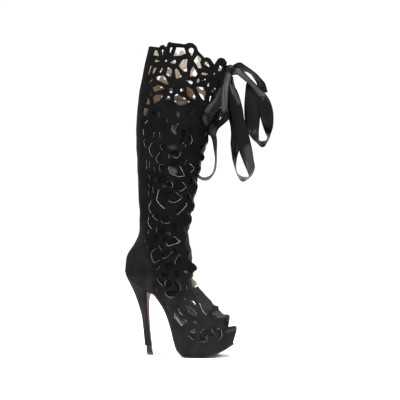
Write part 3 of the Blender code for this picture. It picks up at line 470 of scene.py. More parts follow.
# Openings with corners, point by point.
OPENINGS = (
    ((-80, 588), (-75, 587), (-71, 576), (-83, 578)),
    ((-38, 593), (-23, 592), (-19, 581), (-29, 577), (-44, 576), (-39, 588)),
    ((3, 578), (11, 571), (8, 564), (12, 553), (5, 553), (-4, 567)),
    ((-27, 568), (-16, 571), (-18, 559), (-17, 546), (-23, 546), (-33, 557)),
    ((-5, 557), (0, 548), (3, 542), (0, 537), (-11, 537), (-10, 548)),
    ((-89, 558), (-85, 557), (-92, 538), (-94, 541)),
    ((-82, 554), (-75, 554), (-81, 542), (-85, 543)),
    ((-55, 555), (-46, 550), (-47, 539), (-51, 535), (-58, 542)),
    ((-39, 553), (-35, 550), (-27, 536), (-38, 532), (-41, 548)),
    ((-77, 537), (-62, 539), (-52, 523), (-55, 521), (-74, 530), (-78, 533)),
    ((-73, 521), (-59, 514), (-80, 507), (-85, 516)),
    ((-18, 518), (-7, 512), (1, 494), (-1, 490), (-17, 500)),
    ((0, 517), (15, 516), (20, 506), (16, 490), (10, 496), (3, 510)),
    ((-78, 502), (-68, 502), (-62, 501), (-74, 487), (-78, 481), (-82, 484), (-84, 497)),
    ((-60, 493), (-53, 500), (-49, 496), (-49, 492)),
    ((-38, 504), (-27, 498), (-22, 496), (-11, 488), (-29, 479), (-41, 487), (-42, 498)),
    ((-93, 498), (-89, 489), (-90, 482), (-97, 485)),
    ((-99, 476), (-92, 475), (-96, 461), (-102, 465)),
    ((-82, 471), (-78, 468), (-79, 459), (-84, 467)),
    ((-14, 459), (-4, 474), (-3, 471), (-17, 455)),
    ((37, 516), (40, 512), (38, 506), (27, 507), (32, 510)),
    ((27, 499), (31, 499), (28, 488), (25, 487)),
    ((-103, 437), (-98, 435), (-98, 425), (-103, 424)),
    ((-102, 413), (-97, 417), (-93, 407), (-98, 399)),
    ((-85, 410), (-77, 406), (-74, 396), (-79, 385), (-84, 382), (-90, 390), (-92, 399)),
    ((-70, 392), (-65, 385), (-67, 374), (-75, 371), (-78, 379)),
    ((-71, 367), (-62, 368), (-61, 356), (-70, 353)),
    ((-50, 438), (-39, 438), (-37, 423), (-46, 430)),
    ((-52, 407), (-41, 407), (-33, 396), (-48, 395), (-55, 402)),
    ((-48, 392), (-39, 394), (-29, 391), (-31, 384), (-37, 380), (-44, 382)),
    ((-14, 423), (-8, 423), (-6, 413), (-11, 405), (-17, 412)),
    ((-36, 373), (-29, 362), (-20, 345), (-34, 344), (-49, 350), (-54, 361), (-46, 369)),
    ((-14, 371), (-3, 363), (-2, 358), (-10, 352), (-16, 360)),
    ((-20, 378), (-17, 375), (-21, 366), (-24, 368)),
    ((-54, 336), (-49, 336), (-44, 330), (-45, 323), (-52, 325), (-56, 331)),
    ((-41, 338), (-24, 333), (-17, 324), (-28, 316), (-41, 320)),
    ((-38, 314), (-25, 304), (-32, 298), (-41, 294), (-51, 296), (-59, 312), (-49, 316)),
    ((-72, 320), (-63, 316), (-56, 300), (-60, 282), (-71, 291), (-77, 300)),
    ((-85, 301), (-79, 295), (-80, 283), (-87, 274), (-92, 282), (-91, 290)),
    ((-18, 294), (-16, 290), (-28, 277), (-36, 270), (-40, 278), (-29, 290)),
    ((-29, 431), (-22, 435), (-19, 421), (-28, 417)),
    ((-71, 407), (-59, 404), (-56, 394), (-66, 396)),
    ((-67, 347), (-56, 345), (-59, 333), (-71, 331), (-72, 339)),
    ((-32, 417), (-22, 415), (-23, 408), (-30, 407)),
    ((-13, 343), (-6, 339), (-10, 328), (-16, 332)),
    ((-17, 312), (-10, 311), (-11, 299), (-16, 301)),
    ((-86, 270), (-74, 273), (-69, 264), (-76, 260)),
    ((-91, 268), (-85, 263), (-81, 252), (-85, 244), (-91, 250), (-94, 257)),
    ((-67, 257), (-64, 268), (-53, 267), (-50, 255), (-60, 254)),
    ((-79, 206), (-71, 202), (-68, 195), (-69, 184), (-80, 178), (-85, 186), (-87, 197)),
    ((-72, 213), (-65, 212), (-61, 207), (-67, 203)),
    ((-60, 202), (-46, 200), (-54, 191), (-63, 186), (-66, 195)),
    ((-42, 230), (-29, 220), (-36, 216), (-53, 211), (-57, 214), (-49, 223)),
    ((-31, 196), (-28, 187), (-35, 176), (-41, 178), (-38, 187)),
    ((-76, 164), (-78, 170), (-68, 171)),
    ((-76, 151), (-68, 148), (-61, 140), (-64, 133), (-72, 142)),
    ((-58, 145), (-47, 144), (-46, 136), (-55, 128), (-61, 138)),
    ((-42, 142), (-34, 142), (-30, 136), (-29, 125), (-37, 128)),
    ((-61, 120), (-53, 125), (-33, 125), (-41, 116), (-49, 110), (-55, 114)),
    ((-68, 245), (-58, 247), (-55, 236), (-65, 231), (-71, 238)),
    ((-48, 251), (-39, 255), (-36, 240), (-44, 239)),
    ((-82, 231), (-72, 233), (-70, 222), (-80, 219)),
    ((-63, 225), (-55, 228), (-58, 217), (-65, 217)),
    ((-60, 176), (-46, 179), (-42, 166), (-55, 163)),
    ((-41, 164), (-32, 163), (-31, 151), (-38, 151)),
    ((-66, 160), (-53, 158), (-55, 149), (-65, 152)),
    ((-44, 204), (-38, 207), (-39, 195), (-44, 192)),
    ((-13, 107), (-4, 106), (0, 100), (-4, 97), (-9, 102)),
    ((-19, 96), (-12, 98), (-8, 94), (-3, 88), (3, 77), (-5, 79), (-12, 83), (-17, 87)),
    ((-41, 84), (-34, 77), (-30, 70), (-23, 71), (-15, 66), (-28, 57), (-36, 66), (-43, 75)),
    ((-1, 52), (-12, 48), (-10, 44), (-2, 44)),
    ((-16, 41), (-10, 42), (-1, 41), (-1, 34), (-6, 31)),
    ((17, 53), (10, 50), (6, 45), (10, 43), (14, 48)),
    ((8, 37), (18, 38), (23, 28), (8, 25)),
    ((28, 51), (30, 52), (34, 44), (37, 42), (33, 36), (31, 36), (34, 41), (32, 43)),
    ((38, 53), (42, 53), (46, 46), (47, 37), (43, 30), (38, 28), (38, 30), (42, 33), (43, 39), (43, 45)),
)
OUTER_OPENINGS = (
    ((46, 559), (53, 553), (47, 546), (42, 548)),
    ((-35, 91), (-32, 92), (-30, 85), (-25, 79), (-26, 77), (-32, 83)),
    ((-23, 164), (-16, 165), (-12, 161), (-10, 156), (-15, 154), (-18, 159), (-23, 160)),
)
INNER_OPENINGS = (
    ((-28, 110), (-21, 109), (-15, 99), (-18, 94), (-26, 101)),
)
# Where the raw cut edge of an opening shows brightly, and where it shows pale: the lining's beige edge
# is partly its own colour, partly painted highlight; elsewhere the edge is painted black as shade.
PAINTED_BRIGHT_EDGES = (
    ((-29, 362), (-20, 345), (-34, 344), (-49, 350), (-54, 361)),
    ((-72, 320), (-77, 300), (-71, 291), (-60, 282)),
    ((-18, 294), (-16, 290), (-28, 277), (-36, 270)),
    ((-42, 230), (-29, 220), (-36, 216), (-53, 211), (-57, 214)),
    ((-41, 84), (-43, 75), (-36, 66), (-28, 57)),
)
PAINTED_PALE_EDGES = (
    ((-99, 476), (-102, 465), (-96, 461)),
    ((-14, 459), (-4, 474), (-3, 471)),
    ((-103, 437), (-103, 424)),
    ((-97, 417), (-102, 413), (-98, 399)),
    ((-85, 410), (-92, 399), (-90, 390), (-84, 382)),
    ((-70, 392), (-78, 379), (-75, 371)),
    ((-62, 368), (-71, 367), (-70, 353)),
    ((-29, 391), (-31, 384), (-37, 380), (-44, 382)),
    ((-8, 423), (-6, 413), (-11, 405)),
    ((-14, 371), (-3, 363), (-2, 358), (-10, 352)),
    ((-20, 378), (-24, 368), (-21, 366), (-17, 375)),
    ((-54, 336), (-49, 336), (-44, 330), (-45, 323)),
    ((-24, 333), (-17, 324), (-28, 316)),
    ((-38, 314), (-25, 304), (-32, 298), (-41, 294), (-51, 296)),
    ((-85, 301), (-91, 290), (-92, 282), (-87, 274)),
    ((-71, 407), (-66, 396)),
    ((-17, 312), (-10, 311)),
    ((-86, 270), (-76, 260)),
    ((-91, 268), (-94, 257), (-91, 250), (-85, 244)),
    ((-67, 257), (-60, 254), (-50, 255)),
    ((-79, 206), (-87, 197), (-85, 186), (-80, 178), (-69, 184)),
    ((-72, 213), (-67, 203)),
    ((-46, 200), (-54, 191), (-63, 186)),
    ((-31, 196), (-38, 187), (-41, 178)),
    ((-76, 164), (-68, 171)),
    ((-76, 151), (-72, 142), (-64, 133)),
    ((-58, 145), (-61, 138)),
    ((-34, 142), (-30, 136), (-29, 125)),
    ((-61, 120), (-55, 114), (-49, 110)),
    ((-13, 107), (-9, 102), (-4, 97)),
    ((-3, 88), (3, 77), (-5, 79), (-12, 83)),
    ((-16, 41), (-6, 31)),
    ((23, 28), (8, 25)),
    ((28, 51), (32, 43), (34, 41), (31, 36)),
    ((42, 53), (46, 46), (47, 37), (43, 30), (38, 28)),
    ((-1, 52), (-12, 48)),
    ((10, 50), (6, 45)),
    ((-35, 90), (-31, 83), (-26, 77)),
    ((55, 75), (54, 67), (57, 56)),
)
# Strap over the vamp's ridge.
VAMP_STRAP = (
    (-10, 128), (2, 133), (9, 138), (38, 115), (44, 102), (33, 94), (29, 86),
    (22, 80), (19, 80), (13, 87), (8, 99), (1, 109), (-5, 120),
)
# The throat's edge on each side: height, half gap and how far its petals flare.
THROAT_EDGE = (
    (246, 20, 0), (251, 9, 4), (258, 5, 6), (264, 5, 6), (270, 10, 3.5), (274, 18, 0), (279, 8, 4),
    (286, 4, 5.5), (291, 4, 5.5), (298, 8, 2.5), (304, 12, 2), (312, 8, 4), (320, 5, 5), (327, 5, 5),
    (333, 10, 2), (339, 18, 0), (344, 22, 0), (350, 9, 3), (357, 5, 4.5), (362, 5, 4.5),
    (368, 10, 1.5), (372, 16, 0), (378, 6, 5), (383, 5, 5.5), (389, 11, 1), (395, 17, 0), (402, 20, 0),
    (408, 8, 4), (414, 6, 4.5), (421, 9, 2), (430, 18, 0), (438, 9, 3), (447, 5, 7), (456, 4, 10),
    (463, 3, 12),
)
OUTER_THROAT = (
    (129.5, -9, 0), (131.5, 29, 0), (140, 26, 0), (150, 25, 0), (157.5, 24, 0), (159.5, 12, 3),
    (162, 4, 10.5), (166, 2, 13.5), (171, 2, 12.5), (176, 3, 9), (179, 5, 5), (183, 9, 1.5),
    (186, 17, 0), (192, 15, 1), (200, 12, 2.5), (207, 13, 2), (216, 15, 1), (226, 12, 2.5),
    (236, 13, 2),
) + THROAT_EDGE + (
    (470, 3, 12), (479, 4, 8), (489, 3, 3.5), (498, 4, 2.5), (506, 7, 1), (514, 5, 2.5), (523, 2, 4),
    (531, 2, 4.5), (539, 3, 3), (547, 3, 2), (555, 1, 2.5), (563, 0.5, 3), (572, 1, 2), (580, 4, 1),
    (600, 8, 0),
)
INNER_THROAT = (
    (129.5, -9, 0), (131.5, 24, 5), (134, 22, 7), (140, 22, 5.5), (146, 25, 1.5), (152, 26, 0),
    (157.5, 14, 1), (160, 6, 4), (163, 3, 6), (168, 2, 7), (172, 3, 5.5), (178, 7, 3), (183, 12, 0),
    (192, 8, 2), (203, 6, 3), (214, 8, 2.5), (226, 9, 2), (236, 11, 1),
) + THROAT_EDGE[:-2] + (
    (450, 5, 8), (458, 3, 13), (466, 2, 16), (474, 3, 14), (482, 6, 7), (492, 10, 2), (512, 12, 0),
    (522, 9, 1), (540, 8, 0), (555, 4, 1), (563, 3, 1), (572, 3, 1), (580, 6, 0), (600, 8, 0),
)
# What the toe's petals leave open, and the front of the far side's petal over it.
OUTER_TOE_TRIM = (
    (43.6, 95.6), (44.2, 90.2), (46.5, 83.9), (50.0, 78.7), (55.0, 73.9), (54.2, 67.2),
    (57.3, 54.7), (73.0, 51.8), (73.0, 111.3), (42.3, 111.3),
)
INNER_TOE_TRIM = (
    (33.1, 99.4), (35.7, 97.5), (39.6, 99.0), (43.2, 97.1), (44.2, 91.0), (46.5, 85.2),
    (50.3, 80.2), (57.6, 80.2), (73.0, 82.1), (92.2, 82.5), (92.2, 126.7), (19.2, 126.7),
)
TOE_PETAL = (
    (31.7, 83.5), (38.4, 85.0), (44.2, 86.5), (48.5, 80.6), (55.7, 75.8), (48.0, 72.3),
    (39.4, 71.8), (35.6, 76.8), (29.8, 77.5),
)
# Front edge of the strap, where its raw edge is painted pale as a highlight.
STRAP_LIP = ((8, 100), (11, 91), (15, 84), (18, 81))
# Painted highlights on the sleeve behind the cut-outs, as if soft folds caught the light: ends, reach and
# how bright.
PaintedHighlight = namedtuple("PaintedHighlight", "x z end_x end_z reach shine")
SLEEVE_PAINTED_HIGHLIGHTS = rows_of(PaintedHighlight, (
    (-42, 485, -28, 488, 7, 0.5), (-28, 488, -10, 483, 6, 0.4), (-33, 468, -32, 458, 6, 0.5),
    (-47, 434, -40, 426, 6, 0.6), (-52, 400, -38, 402, 7, 0.2), (-49, 358, -42, 354, 6, 0.4),
    (-20, 240, -16, 185, 8, 0.5), (-22, 163, -14, 161, 4, 0.5), (-18, 162, -12, 138, 8, 0.2),
))
# Lower end of the cut-outs: counter, waist and platform cover stay whole under this line.
WHOLE_BELOW = (
    (-112, 262), (-104, 251), (-97, 213), (-88, 180), (-82, 146), (-79, 125), (-67, 106), (-58, 88),
    (-48, 68), (-36, 53), (-22, 38), (-4, 28), (25, 25), (46, 29), (60, 34),
)
WHOLE_AREA = WHOLE_BELOW + ((60, -80), (-200, -80), (-200, 262))
# Smooth suede: the same, with everything behind the cut-outs.
PLAIN_AREA = WHOLE_BELOW + ((60, -80), (-300, -80), (-300, 700), (-112, 700))
# Half of what the lacing bridges, by height.
LACED_HALF_GAP = (
    (134, 0.0), (136, 4.5), (141, 7.5), (160, 8.5), (230, 8.5), (300, 9.5), (380, 11.0),
    (450, 12.5), (510, 15.0), (550, 18.0), (600, 22.0),
)
EYELET_HEIGHTS = (152, 180, 210, 240, 272, 306, 342, 382, 424, 466, 506)
EYELET_INSET = 8.0
BRIGHT, PALE, FAINT = 0.9, 0.45, 0.3
SOLE_COVER_TOP = 55
SMALL_DROP = 2.6
SLEEVE_TOP = 488.0
SLEEVE_TOP_LINE = ((-100, -90, -84, -74, 20, 40), (445, 452, 484, SLEEVE_TOP, SLEEVE_TOP, 480))
SLEEVE_DEPTH = 3.0
SLEEVE_WALL = 0.5
SLEEVE_GRID_STEP = 3.4
SLEEVE_COLUMNS = 54
OVERLAY_WALL = 1.8
OVERLAY_RISE = 1.1
PETAL_RISE = 0.7
SLEEVE_START = 4.1
SLEEVE_OPENING = ((131, 27), (134, 24), (140, 18.5), (146, 14.5), (151, 8), (156, -5), (182, -5))
STAY_WIDTH = 17.0
STAY_START = 15.2
STAY_BELOW_TOP = 1.2
INNER_COLLAR_DROP = ((-50, -25, -8, 8, 30), (0, 3, 9, 9, 2))
CUT_MARGIN = 4.0
TOE_TRIM_END = 2.0
FAR_INSIDE = -99.0


def laced_half_gap(height):
    """Half of the throat's gap under the lacing."""
    heights, gaps = zip(*LACED_HALF_GAP)
    return np.interp(height, heights, gaps)


def throat_edge(height, inner):
    """Half gap of the throat and flare of its petals at a height."""
    heights, gaps, flares = zip(*(INNER_THROAT if inner else OUTER_THROAT))
    return np.interp(height, heights, gaps, left=FAR_INSIDE), np.interp(height, heights, flares)


def polygon_distance(points, corners):
    """Signed distance to a closed outline, below zero inside."""
    distance = np.full(len(points), 1e9)
    inside = np.zeros(len(points), dtype=bool)
    for a, b in zip(corners, np.roll(corners, -1, axis=0)):
        edge = b - a
        away = points - a
        t = np.clip((away @ edge) / max(edge @ edge, 1e-9), 0, 1)
        distance = np.minimum(distance, np.linalg.norm(away - t[:, None] * edge, axis=1))
        crosses = (a[1] > points[:, 1]) != (b[1] > points[:, 1])
        rise = b[1] - a[1] if abs(b[1] - a[1]) > 1e-9 else 1e-9
        inside ^= crosses & (points[:, 0] < edge[0] * (points[:, 1] - a[1]) / rise + a[0])
    return np.where(inside, -distance, distance)


def outline_distance(seen, outline):
    """The same for a grid of places on the pattern plane."""
    distance = polygon_distance(seen.reshape(-1, 2), np.array(outline, dtype=float))
    return distance.reshape(seen.shape[:-1])


def drop_distance(points, ends, radius, end_radius):
    """Signed distance to a drop between two points, with a radius at each."""
    axis = ends[1] - ends[0]
    away = points - ends[0]
    t = np.clip((away @ axis) / max(axis @ axis, 1e-6), 0, 1)
    return np.linalg.norm(away - t[:, None] * axis, axis=1) - radius - (end_radius - radius) * t


def line_distance(places, line):
    """Distance on the pattern plane to an open line."""
    nearest = np.full(places.shape[:-1], 1e9)
    for a, b in zip(np.array(line[:-1], dtype=float), np.array(line[1:], dtype=float)):
        edge = b - a
        t = np.clip(((places - a) @ edge) / max(edge @ edge, 1e-9), 0, 1)
        nearest = np.minimum(nearest, np.linalg.norm(places - a - t[..., None] * edge, axis=-1))
    return nearest


def painted_edge_light(places):
    """Painted highlight on the cut edge near a place: how pale it is, falling to 0 a few millimetres
    from the listed edges and from the small drops in front of the sleeve."""
    def near(line, strength, reach):
        return strength * np.clip((reach - line_distance(places, line)) / 2.0, 0, 1)

    shown = [near(line, BRIGHT, 4.5) for line in PAINTED_BRIGHT_EDGES]
    shown += [near(line, PALE if line[0][1] > SOLE_COVER_TOP else FAINT, 4.5) for line in PAINTED_PALE_EDGES]
    for drop in DROPS:
        if max(drop.radius, drop.end_radius) < SMALL_DROP and drop.z < SLEEVE_TOP:
            shown.append(near(((drop.x, drop.z), (drop.end_x, drop.end_z + 0.1)), PALE, 6.0))
    return np.max(shown, axis=0)


class Pattern:
    """Lays one side's cut-outs on the skin's outer half and keeps the distance to the nearest edge."""

    def __init__(self, skin, inner):
        self.inner = inner
        half = skin.half(False)
        self.points = skin.points[:, half]
        self.around = skin.around[:, half]
        self.up = skin.up[:, half]
        self.seen = seen_from_outside(self.points)
        view = np.array((-math.sin(VIEW_TURN), math.cos(VIEW_TURN), 0.0))
        self.facing = (skin.normals[:, half] @ view) < -0.04
        self.field = self.whole_sheet(skin, half)

    def whole_sheet(self, skin, half):
        """The side's outline: under the collar, beside the throat and behind the toe's opening."""
        seen = self.seen
        if self.inner:
            seen = seen + (0, 1) * np.interp(seen[..., :1], *INNER_COLLAR_DROP)
        field = outline_distance(seen, UNDER_COLLAR)
        gap = throat_edge(self.points[:, :, 2], self.inner)[0]
        arc = skin.arc[:, half]
        shaft = skin.stations[:, None] > THROAT_STATION
        field = np.maximum(field, np.where(shaft, gap - arc, FAR_INSIDE))
        seen = seen_from_outside(shaped_points(skin, self.inner))
        seen = seen[:, ::-1] if self.inner else seen
        removed = -outline_distance(seen, INNER_TOE_TRIM if self.inner else OUTER_TOE_TRIM)
        return np.maximum(field, np.where(skin.stations[:, None] < TOE_TRIM_END, removed, FAR_INSIDE))

    def on_surface(self, x, z):
        """The point of the outer side that shows at this place of the pattern plane."""
        miss = np.hypot(self.seen[:, :, 0] - x, self.seen[:, :, 1] - z)
        miss = np.where(self.facing, miss, 1e9)
        row, column = np.unravel_index(np.argmin(miss), miss.shape)
        point = self.points[row, column]
        around, up = self.around[row, column], self.up[row, column]
        steps = seen_from_outside(np.array((point, point + around, point + up)))
        sides = np.stack((steps[1] - steps[0], steps[2] - steps[0]), axis=1)
        if abs(np.linalg.det(sides)) > 0.15:
            share = np.linalg.solve(sides, np.array((x, z)) - steps[0])
            share = np.clip(share, -2, 2)
            point = point + around * share[0] + up * share[1]
        return point, around, up

    def cut(self, corners, distance_of, reach):
        """Cut one hole, worked out in its own tangent plane."""
        places = [self.on_surface(x, z) for x, z in corners]
        centre = sum(place[0] for place in places) / len(places)
        nearest = min(places, key=lambda place: np.linalg.norm(place[0] - centre))
        axes = np.stack((nearest[1], nearest[2]), axis=1)
        local = np.array([(place[0] - centre) @ axes for place in places])
        radius = np.linalg.norm(local, axis=1).max() + reach
        near = np.linalg.norm(self.points - centre, axis=2) < radius
        inside = distance_of((self.points[near] - centre) @ axes, local)
        self.field[near] = np.maximum(self.field[near], -inside)

    def cut_all(self):
        """Cut every hole, then mend what has to stay whole."""
        for corners in OPENINGS + (INNER_OPENINGS if self.inner else OUTER_OPENINGS):
            self.cut(corners, polygon_distance, CUT_MARGIN)
        for drop in DROPS:
            outline = partial(drop_distance, radius=drop.radius, end_radius=drop.end_radius)
            self.cut(((drop.x, drop.z), (drop.end_x, drop.end_z)), outline, drop.radius + CUT_MARGIN)
        whole = outline_distance(self.seen, WHOLE_AREA)
        self.field = np.where(whole < 0, np.minimum(self.field, whole), self.field)
        self.painted_edge_light = painted_edge_light(self.seen)


# -------------------------------------------------------------- cut sheets on the last's surface

def marched_faces(field):
    """Faces of the region where a grid's field is below zero, and where its edge crosses the grid."""
    rows, columns = field.shape
    inside = field < 0
    corner = np.arange(rows * columns).reshape(rows, columns)
    flat_edge = rows * columns + np.arange(rows * (columns - 1)).reshape(rows, columns - 1)
    tall_edge = rows * columns + rows * (columns - 1) + np.arange((rows - 1) * columns).reshape(
        rows - 1, columns)
    spots = {
        "c0": corner[:-1, :-1], "c1": corner[:-1, 1:], "c2": corner[1:, 1:], "c3": corner[1:, :-1],
        "e0": flat_edge[:-1], "e1": tall_edge[:, 1:], "e2": flat_edge[1:], "e3": tall_edge[:, :-1],
    }
    code = (inside[:-1, :-1] * 1 + inside[:-1, 1:] * 2 + inside[1:, 1:] * 4 + inside[1:, :-1] * 8)
    middle = (field[:-1, :-1] + field[:-1, 1:] + field[1:, 1:] + field[1:, :-1]) < 0
    shapes = {
        1: ("c0 e0 e3",), 2: ("c1 e1 e0",), 4: ("c2 e2 e1",), 8: ("c3 e3 e2",),
        3: ("c0 c1 e1 e3",), 6: ("c1 c2 e2 e0",), 12: ("c2 c3 e3 e1",), 9: ("c3 c0 e0 e2",),
        7: ("c0 c1 c2 e2 e3",), 14: ("c1 c2 c3 e3 e0",), 13: ("c2 c3 c0 e0 e1",),
        11: ("c3 c0 c1 e1 e2",), 15: ("c0 c1 c2 c3",),
    }
    saddles = {5: (("c0 e0 e1 c2 e2 e3",), ("c0 e0 e3", "c2 e2 e1")),
               10: (("c1 e1 e2 c3 e3 e0",), ("c1 e1 e0", "c3 e3 e2"))}
    faces = []

    def collect(mask, names):
        for name in names:
            faces.append(np.stack([spots[key][mask] for key in name.split()], axis=1))

    for value, names in shapes.items():
        collect(code == value, names)
    for value, (joined, apart) in saddles.items():
        collect((code == value) & middle, joined)
        collect((code == value) & ~middle, apart)
    return [group for group in faces if len(group)]


def marched_points(grid, field):
    """Grid values at every corner and at every place where the field crosses an edge."""
    inside = field < 0

    def crossing(a, b, field_a, field_b):
        share = field_a / np.where(np.abs(field_a - field_b) < 1e-9, 1e-9, field_a - field_b)
        share = np.clip(share, 0.06, 0.94)[..., None]
        return (a + (b - a) * share).reshape(-1, grid.shape[2])

    flat = crossing(grid[:, :-1], grid[:, 1:], field[:, :-1], field[:, 1:])
    tall = crossing(grid[:-1], grid[1:], field[:-1], field[1:])
    return np.concatenate((grid.reshape(-1, grid.shape[2]), flat, tall)), inside.size


Edge = namedtuple("Edge", "depth spread slot")
SUEDE, RAW_EDGE, LINING, PAINTED_LIT_LINING, TOE_PAINTED_LIGHT = range(5)
LEAST_PALE = 0.22


def cut_sheet(name, points, normals, field, edges, slots, pale=None, facing=None):
    """A closed sheet of the region inside the field. Its cut edge runs through rings at a depth
    under the outer face and a spread into the hole, where it is pale; the last ring is the inner
    face's. Facing gives the slot of the inner face where that is not the last edge's."""
    groups = marched_faces(field)
    blank = np.zeros(field.shape)
    inner_slot = blank + edges[-1].slot if facing is None else facing
    extra = np.stack((blank + 1 if pale is None else pale, inner_slot), axis=2)
    spots, corner_count = marched_points(np.concatenate((points, normals, extra), axis=2), field)
    used = np.unique(np.concatenate([group.ravel() for group in groups]))
    lookup = np.full(len(spots), -1)
    lookup[used] = np.arange(len(used))
    groups = [lookup[group] for group in groups]
    place, out, shown = spots[used, :3], spots[used, 3:6], spots[used, 6]
    inner_slot = np.rint(spots[used, 7]).astype(int)
    out = out / np.linalg.norm(out, axis=1)[:, None]
    on_cut = used >= corner_count
    count = len(used)
    starts = np.concatenate([group.ravel() for group in groups])
    ends = np.concatenate([np.roll(group, -1, axis=1).ravel() for group in groups])
    open_edge = ~np.isin(starts * count + ends, ends * count + starts)
    a, b = starts[open_edge], ends[open_edge]
    run = place[b] - place[a]
    run /= np.maximum(np.linalg.norm(run, axis=1), 1e-9)[:, None]
    side = np.cross(run, out[a])
    into_hole = np.zeros_like(place)
    np.add.at(into_hole, a, side)
    np.add.at(into_hole, b, side)
    into_hole /= np.maximum(np.linalg.norm(into_hole, axis=1), 1e-9)[:, None]
    into_hole *= on_cut[:, None]
    into_hole = into_hole * shown[:, None]
    first, last = edges[0], edges[-1]
    vertices = [place - out * (first.depth * on_cut)[:, None] + into_hole * first.spread]
    rim = np.unique(a)
    rim_index = np.full(count, -1)
    rim_index[rim] = np.arange(len(rim))
    ring_maps = [np.arange(count)]
    total = count
    for edge in edges[1:-1]:
        vertices.append(place[rim] - out[rim] * edge.depth + into_hole[rim] * edge.spread)
        ring_maps.append(np.where(rim_index >= 0, rim_index + total, -1))
        total += len(rim)
    vertices.append(place - out * last.depth + into_hole * last.spread)
    ring_maps.append(np.arange(count) + total)
    faces, slot_of_face = [], []
    for group in groups:
        faces += group.tolist()
        slot_of_face += [first.slot] * len(group)
    for upper, lower, edge in zip(ring_maps, ring_maps[1:], edges[1:]):
        faces += np.stack((upper[b], upper[a], lower[a], lower[b]), axis=1).tolist()
        # painted shade: a raw edge that is not painted pale takes the outer face's black
        ring_slot = np.where((shown[a] < LEAST_PALE) & (edge.slot == RAW_EDGE), first.slot, edge.slot)
        # painted light: the cut edges of the pale lit-lining stretch take its colour too
        slot_of_face += np.where(inner_slot[a] == PAINTED_LIT_LINING, PAINTED_LIT_LINING, ring_slot).tolist()
    for group in groups:
        faces += (group[:, ::-1] + total).tolist()
        slot_of_face += inner_slot[group[:, 0]].tolist()
    mesh = bpy.data.meshes.new(name)
    mesh.from_pydata((np.concatenate(vertices) * MM).tolist(), [], faces)
    for material in slots:
        mesh.materials.append(material)
    mesh.polygons.foreach_set("material_index", slot_of_face)
    mesh.shade_smooth()
    mesh.set_sharp_from_angle(angle=math.radians(50))
    mesh.update()
    return link_piece(name, mesh)


def link_piece(name, mesh):
    piece = bpy.data.objects.new(name, mesh)
    bpy.context.scene.collection.objects.link(piece)
    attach(piece, "root")
    return piece


WAVE_RISE = 0.25
PETAL_REACH = 15.0
VAMP_TOP = 134
VAMP_DIP = 4.5
RUFFLE_RISE = 3.4
RUFFLE_DIP = 2.0
# How far the toe's petals lean forward, by height.
OUTER_TOE_LEAN = ((18, 40, 57, 67, 80), (1, 4, 8.5, 5.5, 4.5))
INNER_TOE_LEAN = ((50, 78), (0, 7.5))


def bell(value, centre, reach):
    return np.exp(-((value - centre) / reach) ** 2)


def seen_places(mesh):
    return seen_from_outside(np.array([vertex.co for vertex in mesh.vertices]) / MM)


def add_attribute(mesh, name, values):
    mesh.attributes.new(name, "FLOAT", "POINT").data.foreach_set("value", values)


def shaped_points(skin, inner):
    """One side of the skin with its soft relief: petals lift along the throat, the whole skin
    undulates, its toe petals lean forward and the inner side of the vamp lies lower."""
    half = skin.half(inner)
    points, normals, arc = skin.points[:, half], skin.normals[:, half], skin.arc[:, half]
    station = skin.stations[:, None]
    x, y, z = points[..., 0], points[..., 1], points[..., 2]
    waves = (np.sin(x * 0.11 + z * 0.05) + np.sin(z * 0.13 - x * 0.04 + 1.3)
             + np.sin(x * 0.21 - z * 0.17 + y * 0.1))
    gap, flare = throat_edge(z, inner)
    near = np.clip(1 - (arc - gap) / PETAL_REACH, 0, 1)
    rise = WAVE_RISE * waves * np.clip(arc / 4, 0, 1)
    rise = rise + np.where((station > THROAT_STATION) & (z > VAMP_TOP), flare * near ** 1.5, 0.0)
    if inner:
        rise = rise - VAMP_DIP * bell(station, 1.3, 1.1) * bell(arc, 26, 13)
    ruffle = RUFFLE_RISE * bell(x, 42.5, 3) - RUFFLE_DIP * bell(x, 33.5, 4.5)
    rise = rise + np.where(station < THROAT_STATION, ruffle * np.clip(1.3 - arc / 24, 0, 1), 0.0)
    points = points + normals * rise[..., None]
    lean = np.interp(z, *(INNER_TOE_LEAN if inner else OUTER_TOE_LEAN))
    points[..., 0] += lean * np.clip(1 - station / 1.3, 0, 1) ** 1.5 * np.clip(arc / 14, 0, 1)
    return points


# The inner face beside the throat is black but for a beige stretch and a stretch painted pale as lit
# lining; the toe's is black, then painted lighter as lit suede, up to these stations.
THROAT_FACING = 16.0
BEIGE_FACING = (440, 486)
PAINTED_LIT_LINING_TOP = 157
BLACK_TOE_END = 2.4
PAINTED_LIGHT_TOE_END = 1.4


# By height: painted light on the foot's nap among the cut-outs, and painted shade on the counter.
FOOT_LIGHT = ((105, 165), (0.8, 0.0))
COUNTER_SHADE = ((145, 165, 205, 230), (1.0, 0.4, 0.4, 0.8))


def painted_nap_light(places):
    """Painted light and shade on the nap: most on smooth suede, little between the cut-outs."""
    light = np.clip(0.5 - outline_distance(places, PLAIN_AREA) / 14, 0, 1)
    light = np.maximum(light, np.interp(places[:, 1], *FOOT_LIGHT))
    return light * np.interp(places[:, 1], *COUNTER_SHADE)


